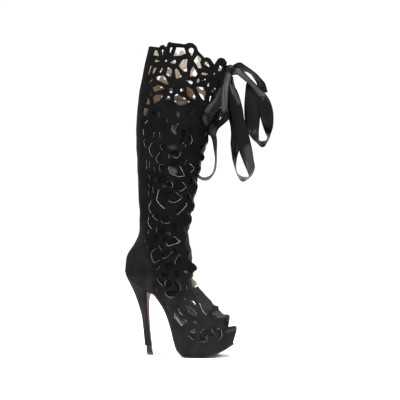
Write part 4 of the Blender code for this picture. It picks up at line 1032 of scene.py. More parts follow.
def make_upper(skin, patterns, materials):
    """The cut-out suede with its lining, one sheet for each side, and the nap's painted light and shade on
    it.
    """
    edges = (Edge(0.4, 0.0, SUEDE), Edge(1.4, 0.0, SUEDE), Edge(1.5, 0.65, RAW_EDGE),
             Edge(WALL, 0.65, RAW_EDGE), Edge(WALL + 0.01, 0.6, LINING))
    slots = (materials["suede"], materials["edge"], materials["lining"], materials["painted_lit_lining"],
             materials["toe_painted_light"])
    for name, inner in (("upper_outer_quarter", False), ("upper_inner_quarter", True)):
        half = skin.half(inner)
        pattern = patterns[inner]
        turn = slice(None, None, -1 if inner else 1)
        height, arc, station = skin.points[:, half, 2], skin.arc[:, half], skin.stations[:, None]
        near_throat = (arc < throat_edge(height, inner)[0] + THROAT_FACING) & (station > THROAT_STATION)
        beige = inner & (height > BEIGE_FACING[0]) & (height < BEIGE_FACING[1])
        black = (station < BLACK_TOE_END) | (near_throat & ~beige)
        facing = np.where(black, SUEDE, LINING)
        if inner:
            # painted light: near the throat's lower end the inner face gets a pale copy of the lining, as if
            # lit
            facing = np.where(near_throat & (height < PAINTED_LIT_LINING_TOP), PAINTED_LIT_LINING, facing)
            # painted light: the toe's front inner face gets a much lighter suede, as if lit
            facing = np.where(station < PAINTED_LIGHT_TOE_END, TOE_PAINTED_LIGHT, facing)
        piece = cut_sheet(name, shaped_points(skin, inner), skin.normals[:, half],
                          pattern.field[:, turn], edges, slots, pattern.painted_edge_light[:, turn], facing)
        add_attribute(piece.data, "painted_nap_light", painted_nap_light(seen_places(piece.data)))
        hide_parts("upper")


def make_overlays(skin, materials):
    """The strap over the vamp's ridge, the toe's petal and the back stay, with skived edges."""
    edges = (Edge(0.25, 0.0, SUEDE), Edge(0.4, 0.3, SUEDE), Edge(1.1, 0.8, RAW_EDGE),
             Edge(OVERLAY_WALL, 0.8, SUEDE))
    seen = seen_from_outside(skin.points[:, skin.half(False)])
    lip = np.clip((3.5 - line_distance(seen, STRAP_LIP)) / 2, 0.05, 1)
    stay = skin.girth[:, None] - skin.arc[:, skin.half(False)] - STAY_WIDTH
    stay = np.maximum(stay, 10 * (STAY_START - skin.stations[:, None]))
    stay = np.maximum(stay, outline_distance(seen, UNDER_COLLAR) + STAY_BELOW_TOP)
    strap, toe_petal = outline_distance(seen, VAMP_STRAP), outline_distance(seen, TOE_PETAL)
    for side, inner in (("outer", False), ("inner", True)):
        turn = slice(None, None, -1 if inner else 1)
        normals = skin.normals[:, skin.half(inner)]
        points = shaped_points(skin, inner) + normals * OVERLAY_RISE
        parts = [("vamp_strap", strap, "strap"), ("back_stay", stay, "back_stay")]
        if not inner:
            # painted light: the toe's petal is cut from the lighter copy of the suede
            parts.append(("toe_petal", toe_petal, "painted_lit_suede"))
        for part, field, finish in parts:
            raised = points + normals * (PETAL_RISE if part == "toe_petal" else 0.0)
            piece = cut_sheet(f"{part}_{side}", raised, normals, field[:, turn], edges,
                              (materials[finish], materials["edge"]), lip[:, turn])


def make_sleeve(materials):
    """The thin black sleeve behind the cut-outs, open at the throat above the instep."""
    skin = Skin(SLEEVE_GRID_STEP, SLEEVE_COLUMNS, SLEEVE_START - 0.3)
    height = skin.points[:, :, 2]
    seen = seen_from_outside(skin.points)
    top = seen[..., 1] - np.interp(seen[..., 0], *SLEEVE_TOP_LINE) - 1.5 * np.sin(seen[..., 0] * 0.16)
    points = skin.points - skin.normals * SLEEVE_DEPTH
    edges = (Edge(0.0, 0.0, SUEDE), Edge(SLEEVE_WALL, 0.0, SUEDE))
    for name, inner in (("sleeve_outer_half", False), ("sleeve_inner_half", True)):
        half = skin.half(inner)
        arc = skin.arc[:, half]
        tall = height[:, half]
        opening = np.interp(tall, *zip(*SLEEVE_OPENING))
        throat = np.where(tall > SLEEVE_OPENING[-1][0], throat_edge(tall, inner)[0] + 3.0, opening) - arc
        start = np.maximum(10 * (SLEEVE_START - skin.stations[:, None]), 116 - tall)
        if inner:
            start = np.maximum(start, np.where(arc < 62, 160 - tall, -9.0))
        field = np.maximum(np.maximum(top[:, half], throat), start)
        piece = cut_sheet(name, points[:, half], skin.normals[:, half], field, edges,
                          (materials["knit"],))
        # painted highlights on the sleeve
        paint_highlights(piece.data, SLEEVE_PAINTED_HIGHLIGHTS)


def paint_highlights(mesh, folds):
    """Give a mesh its painted highlights as an attribute, from where its points show on the pattern plane.
    """
    places = seen_places(mesh)
    shine = np.zeros(len(places))
    for fold in folds:
        away = line_distance(places, ((fold.x, fold.z), (fold.end_x, fold.end_z)))
        shine = np.maximum(shine, fold.shine * np.exp(-(away / fold.reach) ** 4))
    add_attribute(mesh, "painted_highlight", shine)


# ---------------------------------------------------------------------- platform, sole and heel

ToeRow = namedtuple("ToeRow", "rim_x rim_z base_x base_z half_width swing")
TOE_START = ToeRow(55.3, 50.9, 55.2, 16.2, 31.0, 4.0)
TOE_ROWS = rows_of(ToeRow, (
    (61.5, 52.0, 58.7, 18.3, 28.5, 4.2),
    (68.0, 53.5, 63.0, 21.1, 23.5, 4.5),
    (73.5, 55.0, 66.5, 23.6, 16.0, 4.8),
    (77.0, 56.0, 68.5, 25.2, 8.5, 5.0),
    (78.5, 56.2, 69.9, 26.3, 3.0, 5.0),
))
FlapRow = namedtuple("FlapRow", "rear_x rear_z front_x front_z half_width")
FLAP_ROWS = rows_of(FlapRow, (
    (-90.0, 124.6, -88.9, 121.6, 26.4),
    (-92.6, 118.5, -90.9, 118.0, 17.0),
    (-94.1, 108.0, -92.6, 108.0, 11.0),
    (-94.4, 98.0, -92.9, 98.0, 9.6),
    (-94.1, 88.0, -92.6, 88.0, 8.8),
    (-93.3, 73.0, -91.8, 73.0, 7.2),
    (-91.0, 47.0, -89.5, 47.0, 5.7),
    (-87.6, 18.2, -86.2, 18.2, 5.0),
))
HeelRow = namedtuple("HeelRow", "back_x back_z front_x front_z half_width")
HEEL_ROWS = rows_of(HeelRow, (
    (-137.0, 156.2, -91.0, 125.2, 27.5),
    (-133.5, 148.0, -93.0, 118.0, 22.0),
    (-127.0, 135.0, -94.5, 108.0, 17.0),
    (-119.5, 119.0, -94.8, 98.0, 13.5),
    (-112.3, 98.6, -94.5, 88.0, 10.5),
    (-106.0, 76.0, -93.7, 73.0, 7.5),
    (-102.3, 47.0, -91.4, 47.0, 6.0),
    (-99.6, 18.2, -87.6, 18.2, 5.3),
))
HEEL_TIP_ROWS = rows_of(HeelRow, (
    (-96.9, 17.9, -86.0, 17.9, 4.6),
    (-96.1, 8.0, -84.8, 8.0, 4.8),
    (-95.0, 0.0, -83.8, 0.0, 5.1),
))
HEEL_ROUNDNESS = 2.6
HEEL_FRONT_TAPER = 0.3


def both_sides(right):
    """A ring from the points of its right half: x or depth, distance from the middle, height."""
    return right + [(along, -across, *rest) for along, across, *rest in reversed(right)]


def loft(name, rings, material, smooth_angle=40):
    """A closed solid through rings of equally many points."""
    bm = bmesh.new()
    rows = [[bm.verts.new(np.array(point) * MM) for point in ring] for ring in rings]
    for ring, following in zip(rows, rows[1:]):
        for k in range(len(ring)):
            after = (k + 1) % len(ring)
            bm.faces.new((ring[k], ring[after], following[after], following[k]))
    bm.faces.new(rows[0])
    bm.faces.new(rows[-1])
    bmesh.ops.recalc_face_normals(bm, faces=bm.faces)
    if bm.calc_volume(signed=True) < 0:
        bmesh.ops.reverse_faces(bm, faces=bm.faces)
    mesh = bpy.data.meshes.new(name)
    bm.to_mesh(mesh)
    bm.free()
    mesh.materials.append(material)
    mesh.shade_smooth()
    mesh.set_sharp_from_angle(angle=math.radians(smooth_angle))
    return link_piece(name, mesh)


def heel_ring(row, points=17):
    """A ring of the heel: a rounded back and a narrower front."""
    share = np.sin(np.linspace(0, np.pi / 2, points)) ** 1.6
    narrow_front = 1 - HEEL_FRONT_TAPER * np.clip(1 - share / 0.35, 0, 1) ** 2
    width = row.half_width * np.sqrt(np.maximum(1 - share ** HEEL_ROUNDNESS, 0)) * narrow_front
    x = (row.front_x + (row.back_x - row.front_x) * share) * LENGTH_FACTOR
    z = row.front_z + (row.back_z - row.front_z) * share
    ring = both_sides(list(zip(x, width, z)))
    del ring[points]
    return ring


def make_heel(materials):
    """The covered heel, its glossy lower end and the rubber top lift."""
    table = np.array(HEEL_ROWS)
    places = np.linspace(0, len(table) - 1, 57)
    rings = [heel_ring(HeelRow(*catmull(table, place))) for place in places]
    heel = loft("heel_cover", rings, materials["heel_suede"])
    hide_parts("heel")
    table = np.array(HEEL_TIP_ROWS)
    top_lift = 5.5
    rows = [HeelRow(*catmull(table, place)) for place in np.linspace(0, 2, 25)]
    tip = [row for row in rows if row.back_z > top_lift]
    lift = [row for row in rows if row.back_z <= top_lift]
    seat = HeelRow(*[np.interp(top_lift, [r.back_z for r in reversed(rows)],
                               [getattr(r, key) for r in reversed(rows)]) for key in HeelRow._fields])
    shrunk = seat._replace(back_x=seat.back_x + 0.5, front_x=seat.front_x - 0.5,
                           half_width=seat.half_width - 0.4)
    piece = loft("heel_tip_cap", [heel_ring(row) for row in tip + [seat, shrunk]], materials["gloss"])
    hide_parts("heel_tip")
    below = shrunk._replace(back_z=top_lift - 0.3, front_z=top_lift - 0.3)
    wide = seat._replace(back_z=top_lift - 0.7, front_z=top_lift - 0.7)
    piece = loft("top_lift", [heel_ring(row) for row in [below, wide] + lift], materials["rubber"])
    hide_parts("heel_tip")


SOCK_WALL = 3.0
SOCK_FRONT = 44.0
LINING_GAP = 1.2


def inner_outline(station, lowest, highest, count, inset):
    """Points of the upper's inner face between two heights over its base, on one side."""
    section = section_at(station)
    down, wide, arc = half_outline(section)
    slope_down, slope_wide = np.gradient(down, arc), np.gradient(wide, arc)
    inner_down, inner_wide = down + slope_wide * inset, wide - slope_down * inset
    targets = section_depth(section) - np.linspace(lowest, highest, count)
    order = np.argsort(inner_down)
    return targets, np.interp(targets, inner_down[order], inner_wide[order])


def in_section(station, down, across):
    """The point this far under a section's ridge and beside its middle."""
    section = section_at(station)
    share = down / section_depth(section)
    return np.array((section.ridge_x + (section.base_x - section.ridge_x) * share,
                     across + section.swing,
                     section.ridge_z + (section.base_z - section.ridge_z) * share))


PLATFORM_HEIGHTS = 15
# The wrapped rim's seam and its line, seen from the side.
SEAM_LEVEL = 0.84
SEAM_DEPTH = 1.2
RIM_START = 57
RIM_LINE = ((56, 80), (45.8, 51.8))


def platform_ring(station, inset):
    """The platform's outline at a station, inside the upper's wall."""
    down, width = inner_outline(station, 0.0, section_at(station).bed_height, PLATFORM_HEIGHTS, inset)
    return [in_section(station, *place) for place in both_sides(list(zip(down, -width)))]


def make_platform(materials):
    """The covered platform, its front end rounded, with the wrapped rim over it."""
    covered = [platform_ring(station, WALL + LINING_GAP) for station in np.linspace(9, 0, 28)]
    flush = platform_ring(0.0, 0.0)
    first = section_at(0.0)
    base_z, rim_z = flush[0][2], flush[PLATFORM_HEIGHTS - 1][2]
    rings = covered + [[point + np.array((0.4, 0, 0)) for point in covered[-1]]]
    rings.append([point + np.array((0.5, 0, 0)) for point in flush])
    table = np.array([TOE_START, *TOE_ROWS])
    for place in np.linspace(0.25, len(table) - 1, 26):
        row = ToeRow(*catmull(table, place))
        ring = []
        for point in flush:
            level = (point[2] - base_z) / (rim_z - base_z)
            seam = SEAM_DEPTH * bell(level, SEAM_LEVEL, 0.035)
            inward = seam + 1.5 * max(level - 0.95, 0) / 0.05
            x = (row.base_x + (row.rim_x - row.base_x) * level) * LENGTH_FACTOR
            y = (point[1] - first.swing) * row.half_width / first.half_width
            y -= math.copysign(min(inward, abs(y)), y)
            x -= inward * place / (len(table) - 1)
            ring.append((x, y + row.swing, row.base_z + (row.rim_z - row.base_z) * level))
        rings.append(ring)
    piece = loft("platform_cover", rings, materials["platform_suede"], 35)
    # painted light: faces of the rim above its line take the lighter suede, on the band that faces up
    piece.data.materials.append(materials["painted_lit_suede"])
    for face in piece.data.polygons:
        x, y, z = face.center / MM
        if x > RIM_START and z > np.interp(x, *RIM_LINE):
            face.material_index = 1
    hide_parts("platform")


SOLE_WALL = 3.3
SOLE_RISE = 0.3
SOLE_SIDES = 6
TREAD_REACH = 0.6
ROSE_ABOVE = 30.0


def make_outsole(materials):
    """A smooth sole under platform and waist, then the flap down the heel's front."""
    first = section_at(0.0)
    toe = np.array([(row.base_x * LENGTH_FACTOR, row.base_z,
                     first.base_half_width * row.half_width / first.half_width, row.swing)
                    for row in reversed(TOE_ROWS)])
    rows = [catmull(toe, place) for place in np.linspace(0, len(toe) - 1, 17)]
    for station in np.linspace(0, 10, 61):
        section = section_at(station)
        rows.append(np.array((section.base_x, section.base_z, section.base_half_width, section.swing)))
    rows = np.array(rows)
    along = np.gradient(rows[:, :2], axis=0)
    along /= np.linalg.norm(along, axis=1)[:, None]
    rings = []
    for (x, z, half_width, swing), (run, climb) in zip(rows, along):
        away = np.array((climb, -run))
        top = np.array((x, z)) + away * SOLE_RISE
        under = np.array((x, z)) - away * SOLE_WALL
        if under[1] < TREAD_REACH:
            under = np.array((x, 0.0))
        rings.append(sole_ring(top, under, half_width, swing))
    flap = np.array(FLAP_ROWS)
    for place in np.linspace(0, len(flap) - 1, 36):
        row = FlapRow(*catmull(flap, place))
        rear = np.array((row.rear_x * LENGTH_FACTOR, row.rear_z))
        front = np.array((row.front_x * LENGTH_FACTOR, row.front_z))
        rings.append(sole_ring(rear, front, row.half_width, 0.0))
    piece = loft("outsole_leather", rings, materials["edge_ink"], 30)
    piece.data.materials.append(materials["rose"])
    for face in piece.data.polygons[:(len(rings) - 1) * SOLE_SIDES]:
        under = face.index % SOLE_SIDES == 2
        if under and face.center.z > ROSE_ABOVE * MM and face.center.x < 0:
            face.material_index = 1
    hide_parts("outsole")


def sole_ring(top, under, half_width, swing):
    """A cross section of the sole, its lower corners bevelled."""
    mid = top + (under - top) * 0.6
    chamfer = min(1.0, 0.3 * half_width)
    corners = both_sides([(top, half_width), (mid, half_width), (under, half_width - chamfer)])
    return [np.array((point[0], width + swing, point[1])) for point, width in corners]


def make_insole(materials):
    """The sock on platform and waist, black where it wraps the toe."""
    rings = []
    for place in np.linspace(2, 0, 9):
        row = ToeRow(*catmull(np.array(TOE_ROWS), place))
        half_width = row.half_width - 2.5
        corners = both_sides([(0.6, half_width), (2.2, half_width + 0.2), (3.3, half_width - 1.2)])
        x = row.rim_x * LENGTH_FACTOR
        rings.append([np.array((x, width + row.swing, row.rim_z + rise)) for rise, width in corners])
    for station in np.linspace(0, 14, 71):
        section = section_at(station)
        depth = section_depth(section)
        low = section.bed_height + 0.3
        down, width = inner_outline(station, low, low + SOCK_WALL, 3, WALL + LINING_GAP)
        width = width.min() * np.interp(station, (12.5, 14), (1, 0.55))
        corners = both_sides([(depth - low, width), (depth - low - 2.0, width),
                              (depth - low - SOCK_WALL, width - 1.2)])
        rings.append([in_section(station, *corner) for corner in corners])
    piece = loft("sock_lining", rings, materials["sock"], 60)
    piece.data.materials.append(materials["platform_suede"])
    for face in piece.data.polygons:
        if face.center.x > SOCK_FRONT * MM:
            face.material_index = 1
    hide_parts("insole")


# --------------------------------------------------------------------------------------- ribbons

# A ribbon's two edges side by side, as seen on the pattern plane, with how far each lies behind it.
EdgePair = namedtuple("EdgePair", "edge_x edge_z edge_y other_x other_z other_y")
LOOP_SHORT_ROWS = rows_of(EdgePair, (
    (67, 536, -9, 67, 550, -3), (74, 539, -12, 77, 553, 0), (80, 539, -15, 86, 551, 2),
    (86, 534, -17, 94, 544, 3), (96, 526, -19, 104, 533, 3), (104, 520, -20, 112, 525, 3),
    (111, 511, -20, 121, 516, 3), (117, 502, -19, 130, 508, 1), (120, 493, -16, 138, 498, -4),
    (120, 482, -13, 144, 486, -8), (121, 469, -10, 148, 471, -10), (124, 456, -8, 149, 455, -12),
    (128, 443, -3, 148, 440, -14), (133, 430, 4, 144, 426, -16), (137, 420, 8, 141, 416, -15),
    (135, 415, 9, 137, 409, -13), (130, 413, 10, 132, 402, -10), (124, 413, 11, 125, 401, -9),
    (121, 416, 13, 117, 409, -9), (121, 423, 15, 109, 416, -5), (121, 432, 16, 102, 426, 0),
    (122, 444, 15, 97, 438, 5), (123, 457, 13, 93.5, 454, 9), (123, 471, 13, 92.5, 468, 10),
    (122, 484, 14, 92.5, 482, 10), (122, 494, 15, 93.5, 497, 9), (123, 500, 16, 95, 514, 8),
    (126, 506, 16, 98, 525, 9), (137, 506, 16, 114, 521, 12), (136, 514, 12, 117, 520, 17),
    (132, 524, 8, 116, 525, 18), (125, 532, 6, 111, 533, 20), (115, 542, 4, 106, 540, 21),
    (104, 550, 2, 99, 545, 20), (94, 557, 0, 90, 547, 18), (85, 563, -1, 84, 550, 15),
    (76, 561, -1, 76, 547, 11), (68, 556, 0, 69, 544, 7),
))
LOOP_LONG_ROWS = rows_of(EdgePair, (
    (70, 536, -7, 62, 538, -9), (73, 524, -12, 62, 524, -18), (79, 511, -16, 61, 509, -22),
    (85, 494, -18, 62, 492, -22), (90, 474, -19, 64, 472, -21), (93, 455, -20, 69, 453, -20),
    (99, 436, -20, 75, 432, -20), (104, 415, -20, 80, 411, -20), (108, 396, -20, 84, 390, -20),
    (111, 376, -17, 90, 375, -22), (113, 363, -10, 96, 361, -27), (110, 352, -6, 100, 351, -28),
    (105, 344, -4, 101, 345, -28), (98, 339, -3, 96, 344, -27), (91, 335, -2, 89, 345, -25),
    (85, 338, -1, 83, 349, -23), (79, 348, 0, 79, 354, -22), (75, 358, 1, 77, 363, -20),
    (72, 369, 2, 78, 373, -18), (69, 380, 2, 80, 384, -15), (67, 394, 0, 84, 397, -10),
    (66, 409, -3, 87, 410, -7), (67, 424, -5, 89, 425, -5), (66, 440, -5, 87, 441, -5),
    (63, 455, -5, 85, 456, -5), (62, 474, -4, 82, 475, -4), (62, 494, -3, 79, 495, -3),
    (63, 513, -3, 76, 513, -3), (64, 528, -3, 72, 528, -3), (65, 537, -3, 71, 537, -3),
))
SLACK_ROWS = rows_of(EdgePair, (
    (68, 543, -11, 61, 540, -10), (64, 530, -19, 54, 529, -16), (61, 515, -27, 50, 514, -21),
    (61, 497, -32, 49, 497, -26), (61, 482, -35, 49, 480, -28), (62, 469, -36, 50, 467, -29),
    (64, 456, -36, 47, 455, -26), (57, 448, -33, 39, 451, -20), (44, 437, -30, 29, 445, -16),
    (39, 426, -27, 20, 431, -16), (40, 415, -25, 29, 419, -9), (40, 396, -24, 33, 397, -5),
    (40, 376, -23, 36, 376, -2), (38, 357, -22, 34, 358, 0), (33, 347, -21, 30, 349, 1),
    (26, 339, -20, 24, 344, 2), (16, 337, -19, 16, 342, 2), (8, 340, -18, 9, 344, 2),
    (0, 346, -16, 2, 350, 1),
))
LEAD_OUTER_ROWS = rows_of(EdgePair, (
    (50, 553, -5, 66, 552, -10), (46, 541, -9, 62, 539, -13), (46, 529, -13, 61, 524, -17),
    (44, 514, -16, 58, 503, -21), (39, 499, -19, 54, 487, -25), (30, 489, -23, 45, 475, -29),
    (21, 479, -30, 36, 465, -32), (15, 467, -35, 29, 454, -34), (12, 456, -36, 23, 446, -33),
    (10, 450, -31, 20, 441, -26),
))
LEAD_INNER_ROWS = rows_of(EdgePair, (
    (60, 537, 9, 66, 538, 9), (58, 525, 15, 66, 527, 18), (54, 514, 19, 63, 517, 24),
    (49, 503, 22, 57, 506, 28), (44, 494, 24, 52, 496, 31),
))
# Painted highlights on the satin, where its folds would catch the light.
RIBBON_PAINTED_HIGHLIGHTS = rows_of(PaintedHighlight, (
    (62, 540, 58, 524, 5, 0.75), (58, 524, 55, 501, 5.5, 0.8), (55, 501, 54, 474, 5.5, 0.9),
    (46, 512, 36, 492, 3.5, 0.5), (36, 492, 21, 472, 4.5, 0.5), (29, 442, 35, 426, 7, 0.3),
    (16, 458, 19, 446, 4, 0.7), (79, 549, 100, 531, 4.5, 0.6), (100, 531, 127, 503, 4, 0.45),
    (85, 558, 108, 546, 4, 0.25), (108, 546, 127, 522, 4, 0.25), (102, 396, 106, 357, 10, 0.4),
    (106, 501, 111, 438, 13, 0.12), (37, 415, 38, 376, 4, 0.25), (38, 376, 33, 351, 4, 0.25),
    (27, 342, 10, 342, 4, 0.6), (67, 519, 83, 486, 3.5, 0.45),
))
KNOT_CENTRE = (64.0, 0.0, 547.0)
KNOT_SIZE = (29.0, 20.0, 21.0)


def from_seen(x, z, y):
    """The point at a given y that shows at this place of the pattern plane."""
    cosine, sine = math.cos(VIEW_TURN), math.sin(VIEW_TURN)
    centre, distance, height = VIEW_CENTRE_X / MM, VIEW_DISTANCE / MM, VIEW_HEIGHT / MM
    slope = (x - centre * cosine) / distance
    depth_at_zero = distance + sine * centre + cosine * y
    true_x = (centre * cosine - sine * y + slope * depth_at_zero) / (cosine + slope * sine)
    depth = depth_at_zero - sine * true_x
    return np.array((true_x, y, height + (z - height) * depth / distance))


def edge_curves(rows):
    """A band's two edges in the boot's own place, six numbers for each row."""
    edges = np.array([(from_seen(row.edge_x, row.edge_z, row.edge_y),
                       from_seen(row.other_x, row.other_z, row.other_y)) for row in rows])
    return edges.reshape(len(rows), 6)


def evenly(rows, step):
    """Rows of numbers on a smooth curve, evenly spaced along the middle of the first six."""
    places = np.linspace(0, len(rows) - 1, 14 * len(rows))
    fine = np.array([catmull(rows, place) for place in places])
    middle = (fine[:, :3] + fine[:, 3:6]) / 2
    arc = np.concatenate(((0.0,), np.cumsum(np.linalg.norm(np.diff(middle, axis=0), axis=1))))
    even = np.linspace(0, arc[-1], int(arc[-1] / step) + 1)
    return np.stack([np.interp(even, arc, fine[:, k]) for k in range(fine.shape[1])], axis=1), even


def band_mesh(name, rows, arc, columns=12, bow=0.8, fold=0.22, pleats=1):
    """A satin band between two edge curves: the narrower it is gathered, the deeper its folds."""
    edge, other = rows[:, :3], rows[:, 3:6]
    across = other - edge
    width = np.linalg.norm(across, axis=1)
    along = np.gradient((edge + other) / 2, axis=0)
    along /= np.linalg.norm(along, axis=1)[:, None]
    normal = np.cross(along, across / width[:, None])
    normal /= np.linalg.norm(normal, axis=1)[:, None]
    share = np.linspace(0, 1, columns + 1)
    t = 2 * share - 1
    gathered = np.clip(RIBBON_WIDTH - width, 0, 18)
    depth = fold * gathered[:, None] * (np.cos(t * (1.4 + pleats) * np.pi + 0.03 * arc[:, None])
                                        - 0.3 * np.cos(t * 5.1 + 0.7 + 0.05 * arc[:, None]))
    curl = bow * np.sin(0.045 * arc[:, None] + 0.8) * (t ** 2 - 0.35)
    sway = 0.35 * np.sin(arc[:, None] * 0.11 + 2.0 * t) * np.sin(arc[:, None] * 0.047)
    grid = (edge[:, None, :] + across[:, None, :] * share[None, :, None]
            + normal[:, None, :] * (depth + curl + sway)[:, :, None])
    index = np.arange(grid.shape[0] * grid.shape[1]).reshape(grid.shape[:2])
    faces = np.stack((index[:-1, :-1], index[:-1, 1:], index[1:, 1:], index[1:, :-1]), axis=2)
    mesh = bpy.data.meshes.new(name)
    mesh.from_pydata((grid.reshape(-1, 3) * MM).tolist(), [], faces.reshape(-1, 4).tolist())
    layer = mesh.uv_layers.new(name="ribbon")
    uv = np.stack(np.meshgrid(share * pleats, arc * MM), axis=2).reshape(-1, 2)
    loops = np.empty(len(mesh.loops), dtype=int)
    mesh.loops.foreach_get("vertex_index", loops)
    layer.data.foreach_set("uv", uv[loops].ravel())
    mesh.shade_smooth()
    return mesh


def solid_band(name, mesh, material):
    """A piece of satin ribbon from its middle surface."""
    mesh.materials.append(material)
    piece = link_piece(name, mesh)
    wall = piece.modifiers.new("thickness", "SOLIDIFY")
    wall.thickness = SATIN_WALL * MM
    wall.offset = 0.0
    apply_modifiers(piece)
    # painted highlights along the satin's listed folds
    paint_highlights(piece.data, RIBBON_PAINTED_HIGHLIGHTS)
    return piece


def apply_modifiers(piece):
    bpy.ops.object.select_all(action="DESELECT")
    piece.select_set(True)
    bpy.context.view_layer.objects.active = piece
    for modifier in list(piece.modifiers):
        bpy.ops.object.modifier_apply(modifier=modifier.name)
    piece.select_set(False)


def free_ribbon(name, node, edge_pairs, material):
    """A free strand of the bow, a limp band of satin."""
    rows, arc = evenly(edge_curves(edge_pairs), 2.5)
    piece = solid_band(name, band_mesh(name, rows, arc), material)
    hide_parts(node)


FRONT_STATIONS = np.linspace(THROAT_STATION, LAST_STATION, 400)


@lru_cache(maxsize=None)
def front_heights(across):
    """Height of the upper's front at each station, this far from its middle."""
    heights = []
    for station in FRONT_STATIONS:
        down, wide, arc = half_outline(section_at(station))
        widest = int(np.argmax(wide))
        depth = float(np.interp(across, wide[:widest + 1], down[:widest + 1]))
        heights.append(in_section(station, depth, across)[2])
    return np.array(heights)


def on_front(height, across):
    """Point, up, around and outward directions of the upper's front."""
    station = float(np.interp(height, front_heights(round(abs(across), 1)), FRONT_STATIONS))
    down, wide, arc = half_outline(section_at(station))
    widest = int(np.argmax(wide))
    share = math.copysign(np.interp(abs(across), wide[:widest + 1], arc[:widest + 1]) / arc[-1], across)
    sides = np.array((max(share - 0.02, -1), share, min(share + 0.02, 1)))
    row = section_row(station, sides)[0]
    above = section_row(min(station + 0.1, LAST_STATION), sides)[0][1]
    below = section_row(max(station - 0.1, 0), sides)[0][1]
    around = (row[2] - row[0]) / np.linalg.norm(row[2] - row[0])
    up = above - below
    up -= around * up.dot(around)
    up /= np.linalg.norm(up)
    return row[1], up, around, np.cross(around, up)


def make_lead(name, node, edge_pairs, material):
    """A gathered band from the knot down to the top eyelet."""
    rows, arc = evenly(edge_curves(edge_pairs), 2.0)
    pleated = band_mesh(name, rows, arc, columns=28, bow=1.2, fold=0.22, pleats=4)
    piece = solid_band(name, pleated, material)
    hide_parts(node)
    return piece


def make_knot(material):
    """A gathered knot: pleats run round it and pinch its waist."""
    bpy.ops.object.select_all(action="DESELECT")
    bpy.ops.mesh.primitive_uv_sphere_add(segments=64, ring_count=32, radius=1.0, location=(0, 0, 0))
    piece = bpy.context.object
    piece.name = "bow_knot"
    mesh = piece.data
    for vertex in mesh.vertices:
        x, y, z = vertex.co
        turn = math.atan2(z, x)
        reach = math.hypot(x, z)
        fold = (0.07 * math.cos(6 * turn + 4 * y) + 0.05 * math.cos(11 * y + 2 * turn)) * reach
        scale = 1 + fold - 0.1 * bell(y, 0.0, 0.3)
        vertex.co = Vector((x * KNOT_SIZE[0] / 2 * scale, y * KNOT_SIZE[1] / 2 * 1.02,
                            z * KNOT_SIZE[2] / 2 * scale)) * MM + Vector(KNOT_CENTRE) * MM
    mesh.uv_layers.active.name = "ribbon"
    mesh.materials.append(material)
    mesh.shade_smooth()
    # painted highlights on the knot's folds
    paint_highlights(mesh, RIBBON_PAINTED_HIGHLIGHTS)
    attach(piece, "root")
    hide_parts("ribbon_knot")
    return piece


def make_bow(material):
    """Knot, leads, both loops and the slack strand."""
    knot = make_knot(material)
    leads = [make_lead("lead_outer", "ribbon_lead_outer", LEAD_OUTER_ROWS, material),
             make_lead("lead_inner", "ribbon_lead_inner", LEAD_INNER_ROWS, material)]
    free_ribbon("bow_loop_long", "ribbon_loop_long", LOOP_LONG_ROWS, material)
    free_ribbon("bow_loop_short", "ribbon_loop_short", LOOP_SHORT_ROWS, material)
    free_ribbon("slack_strand", "ribbon_tail", SLACK_ROWS, material)


def crossing_rows(level, side):
    """Edges of a band from an eyelet to the next one across the throat: it dips into the eyelets,
    rises and widens between them, and passes over or under the band that it crosses."""
    low, high = EYELET_HEIGHTS[level:level + 2]
    over = (level + (side > 0)) % 2
    sunk, spread = (1.8, 4.5) if level == 0 else (0.6, 7.0)
    rows = []
    for t in np.linspace(0, 1, 13):
        height = low + (high - low) * t
        reach = float(laced_half_gap(height)) + EYELET_INSET
        arch = math.sin(math.pi * t)
        point, up, around, out = on_front(height, side * reach * (1 - 2 * t))
        middle = point + out * (1.8 * arch + 0.8 * over * arch ** 2 - sunk)
        half_width = 3.0 + spread * arch ** 0.7
        rows.append(np.concatenate((middle - up * half_width, middle + up * half_width)))
    return np.array(rows)


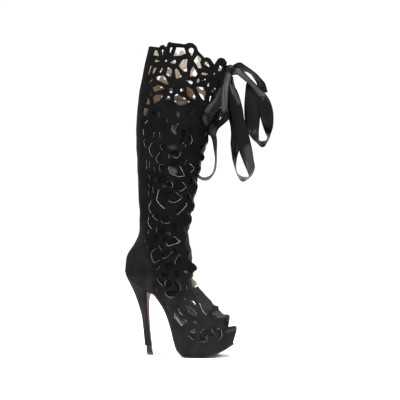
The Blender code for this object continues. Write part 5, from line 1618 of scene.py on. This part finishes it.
def make_lacing(material):
    """The bands of ribbon that cross the throat, over the upper's front."""
    meshes = []
    for level in range(len(EYELET_HEIGHTS) - 1):
        for side in (-1, 1):
            rows, arc = evenly(crossing_rows(level, side), 2.2)
            meshes.append(band_mesh(f"band_{level}_{side}", rows, arc, columns=10, bow=0.4, fold=0.09))
    bm = bmesh.new()
    for mesh in meshes:
        bm.from_mesh(mesh)
        bpy.data.meshes.remove(mesh)
    joined = bpy.data.meshes.new("ribbon_crossings")
    bm.to_mesh(joined)
    bm.free()
    joined.shade_smooth()
    piece = solid_band("ribbon_crossings", joined, material)
    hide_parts("ribbon_lacing")


# ------------------------------------------------------------------------------------------- main

def all_materials():
    return {
        "suede": suede_material("black_suede_nap", 1.2, lattice=True),
        "heel_suede": suede_material("black_heel_suede", 1.8),
        "platform_suede": suede_material("black_platform_suede", 1.2),
        "back_stay": suede_material("black_back_stay_suede", 1.9),
        "strap": suede_material("black_strap_suede", 1.5),
        # painted light: a lighter copy of the black suede for the toe's petal and the platform's rim
        "painted_lit_suede": suede_material("black_suede_painted_lit", 3.4),
        # painted light: the black suede made much lighter for the toe's inner face, as if lit
        "toe_painted_light": suede_material("toe_suede_painted_light", 13.0),
        # painted light: a pale copy of the nude lining, for a stretch that shows lit
        "painted_lit_lining": leather_material("lining_leather_painted_lit", (0.96, 0.92, 0.74), 0.55, 0.04),
        "edge": leather_material("raw_lining_edge", (0.25, 0.247, 0.22), 0.7, 0.55),
        "lining": leather_material("nude_lining_leather", (0.65, 0.56, 0.45), 0.5, 0.35, painted_shading=True),
        # painted shade: the sock's nude leather is made much darker, as shade inside the foot
        "sock": leather_material("nude_sock_leather_painted_shade", (0.17, 0.145, 0.13), 0.5),
        "rose": leather_material("rose_sole_leather", (0.13, 0.014, 0.018), 0.45),
        "edge_ink": leather_material("inked_sole_edge", (0.012, 0.012, 0.013), 0.5),
        "knit": sleeve_material(),
        "satin": satin_material(),
        "gloss": gloss_material(),
        "rubber": rubber_material(),
    }


def main():
    add_camera()
    materials = all_materials()
    make_bow(materials["satin"])
    make_lacing(materials["satin"])
    skin = Skin(GRID_STEP, SIDE_COLUMNS)
    patterns = [Pattern(skin, False), Pattern(skin, True)]
    for pattern in patterns:
        pattern.cut_all()
    make_upper(skin, patterns, materials)
    make_overlays(skin, materials)
    make_sleeve(materials)
    make_platform(materials)
    make_outsole(materials)
    make_insole(materials)
    make_heel(materials)
    add_studio()


main()
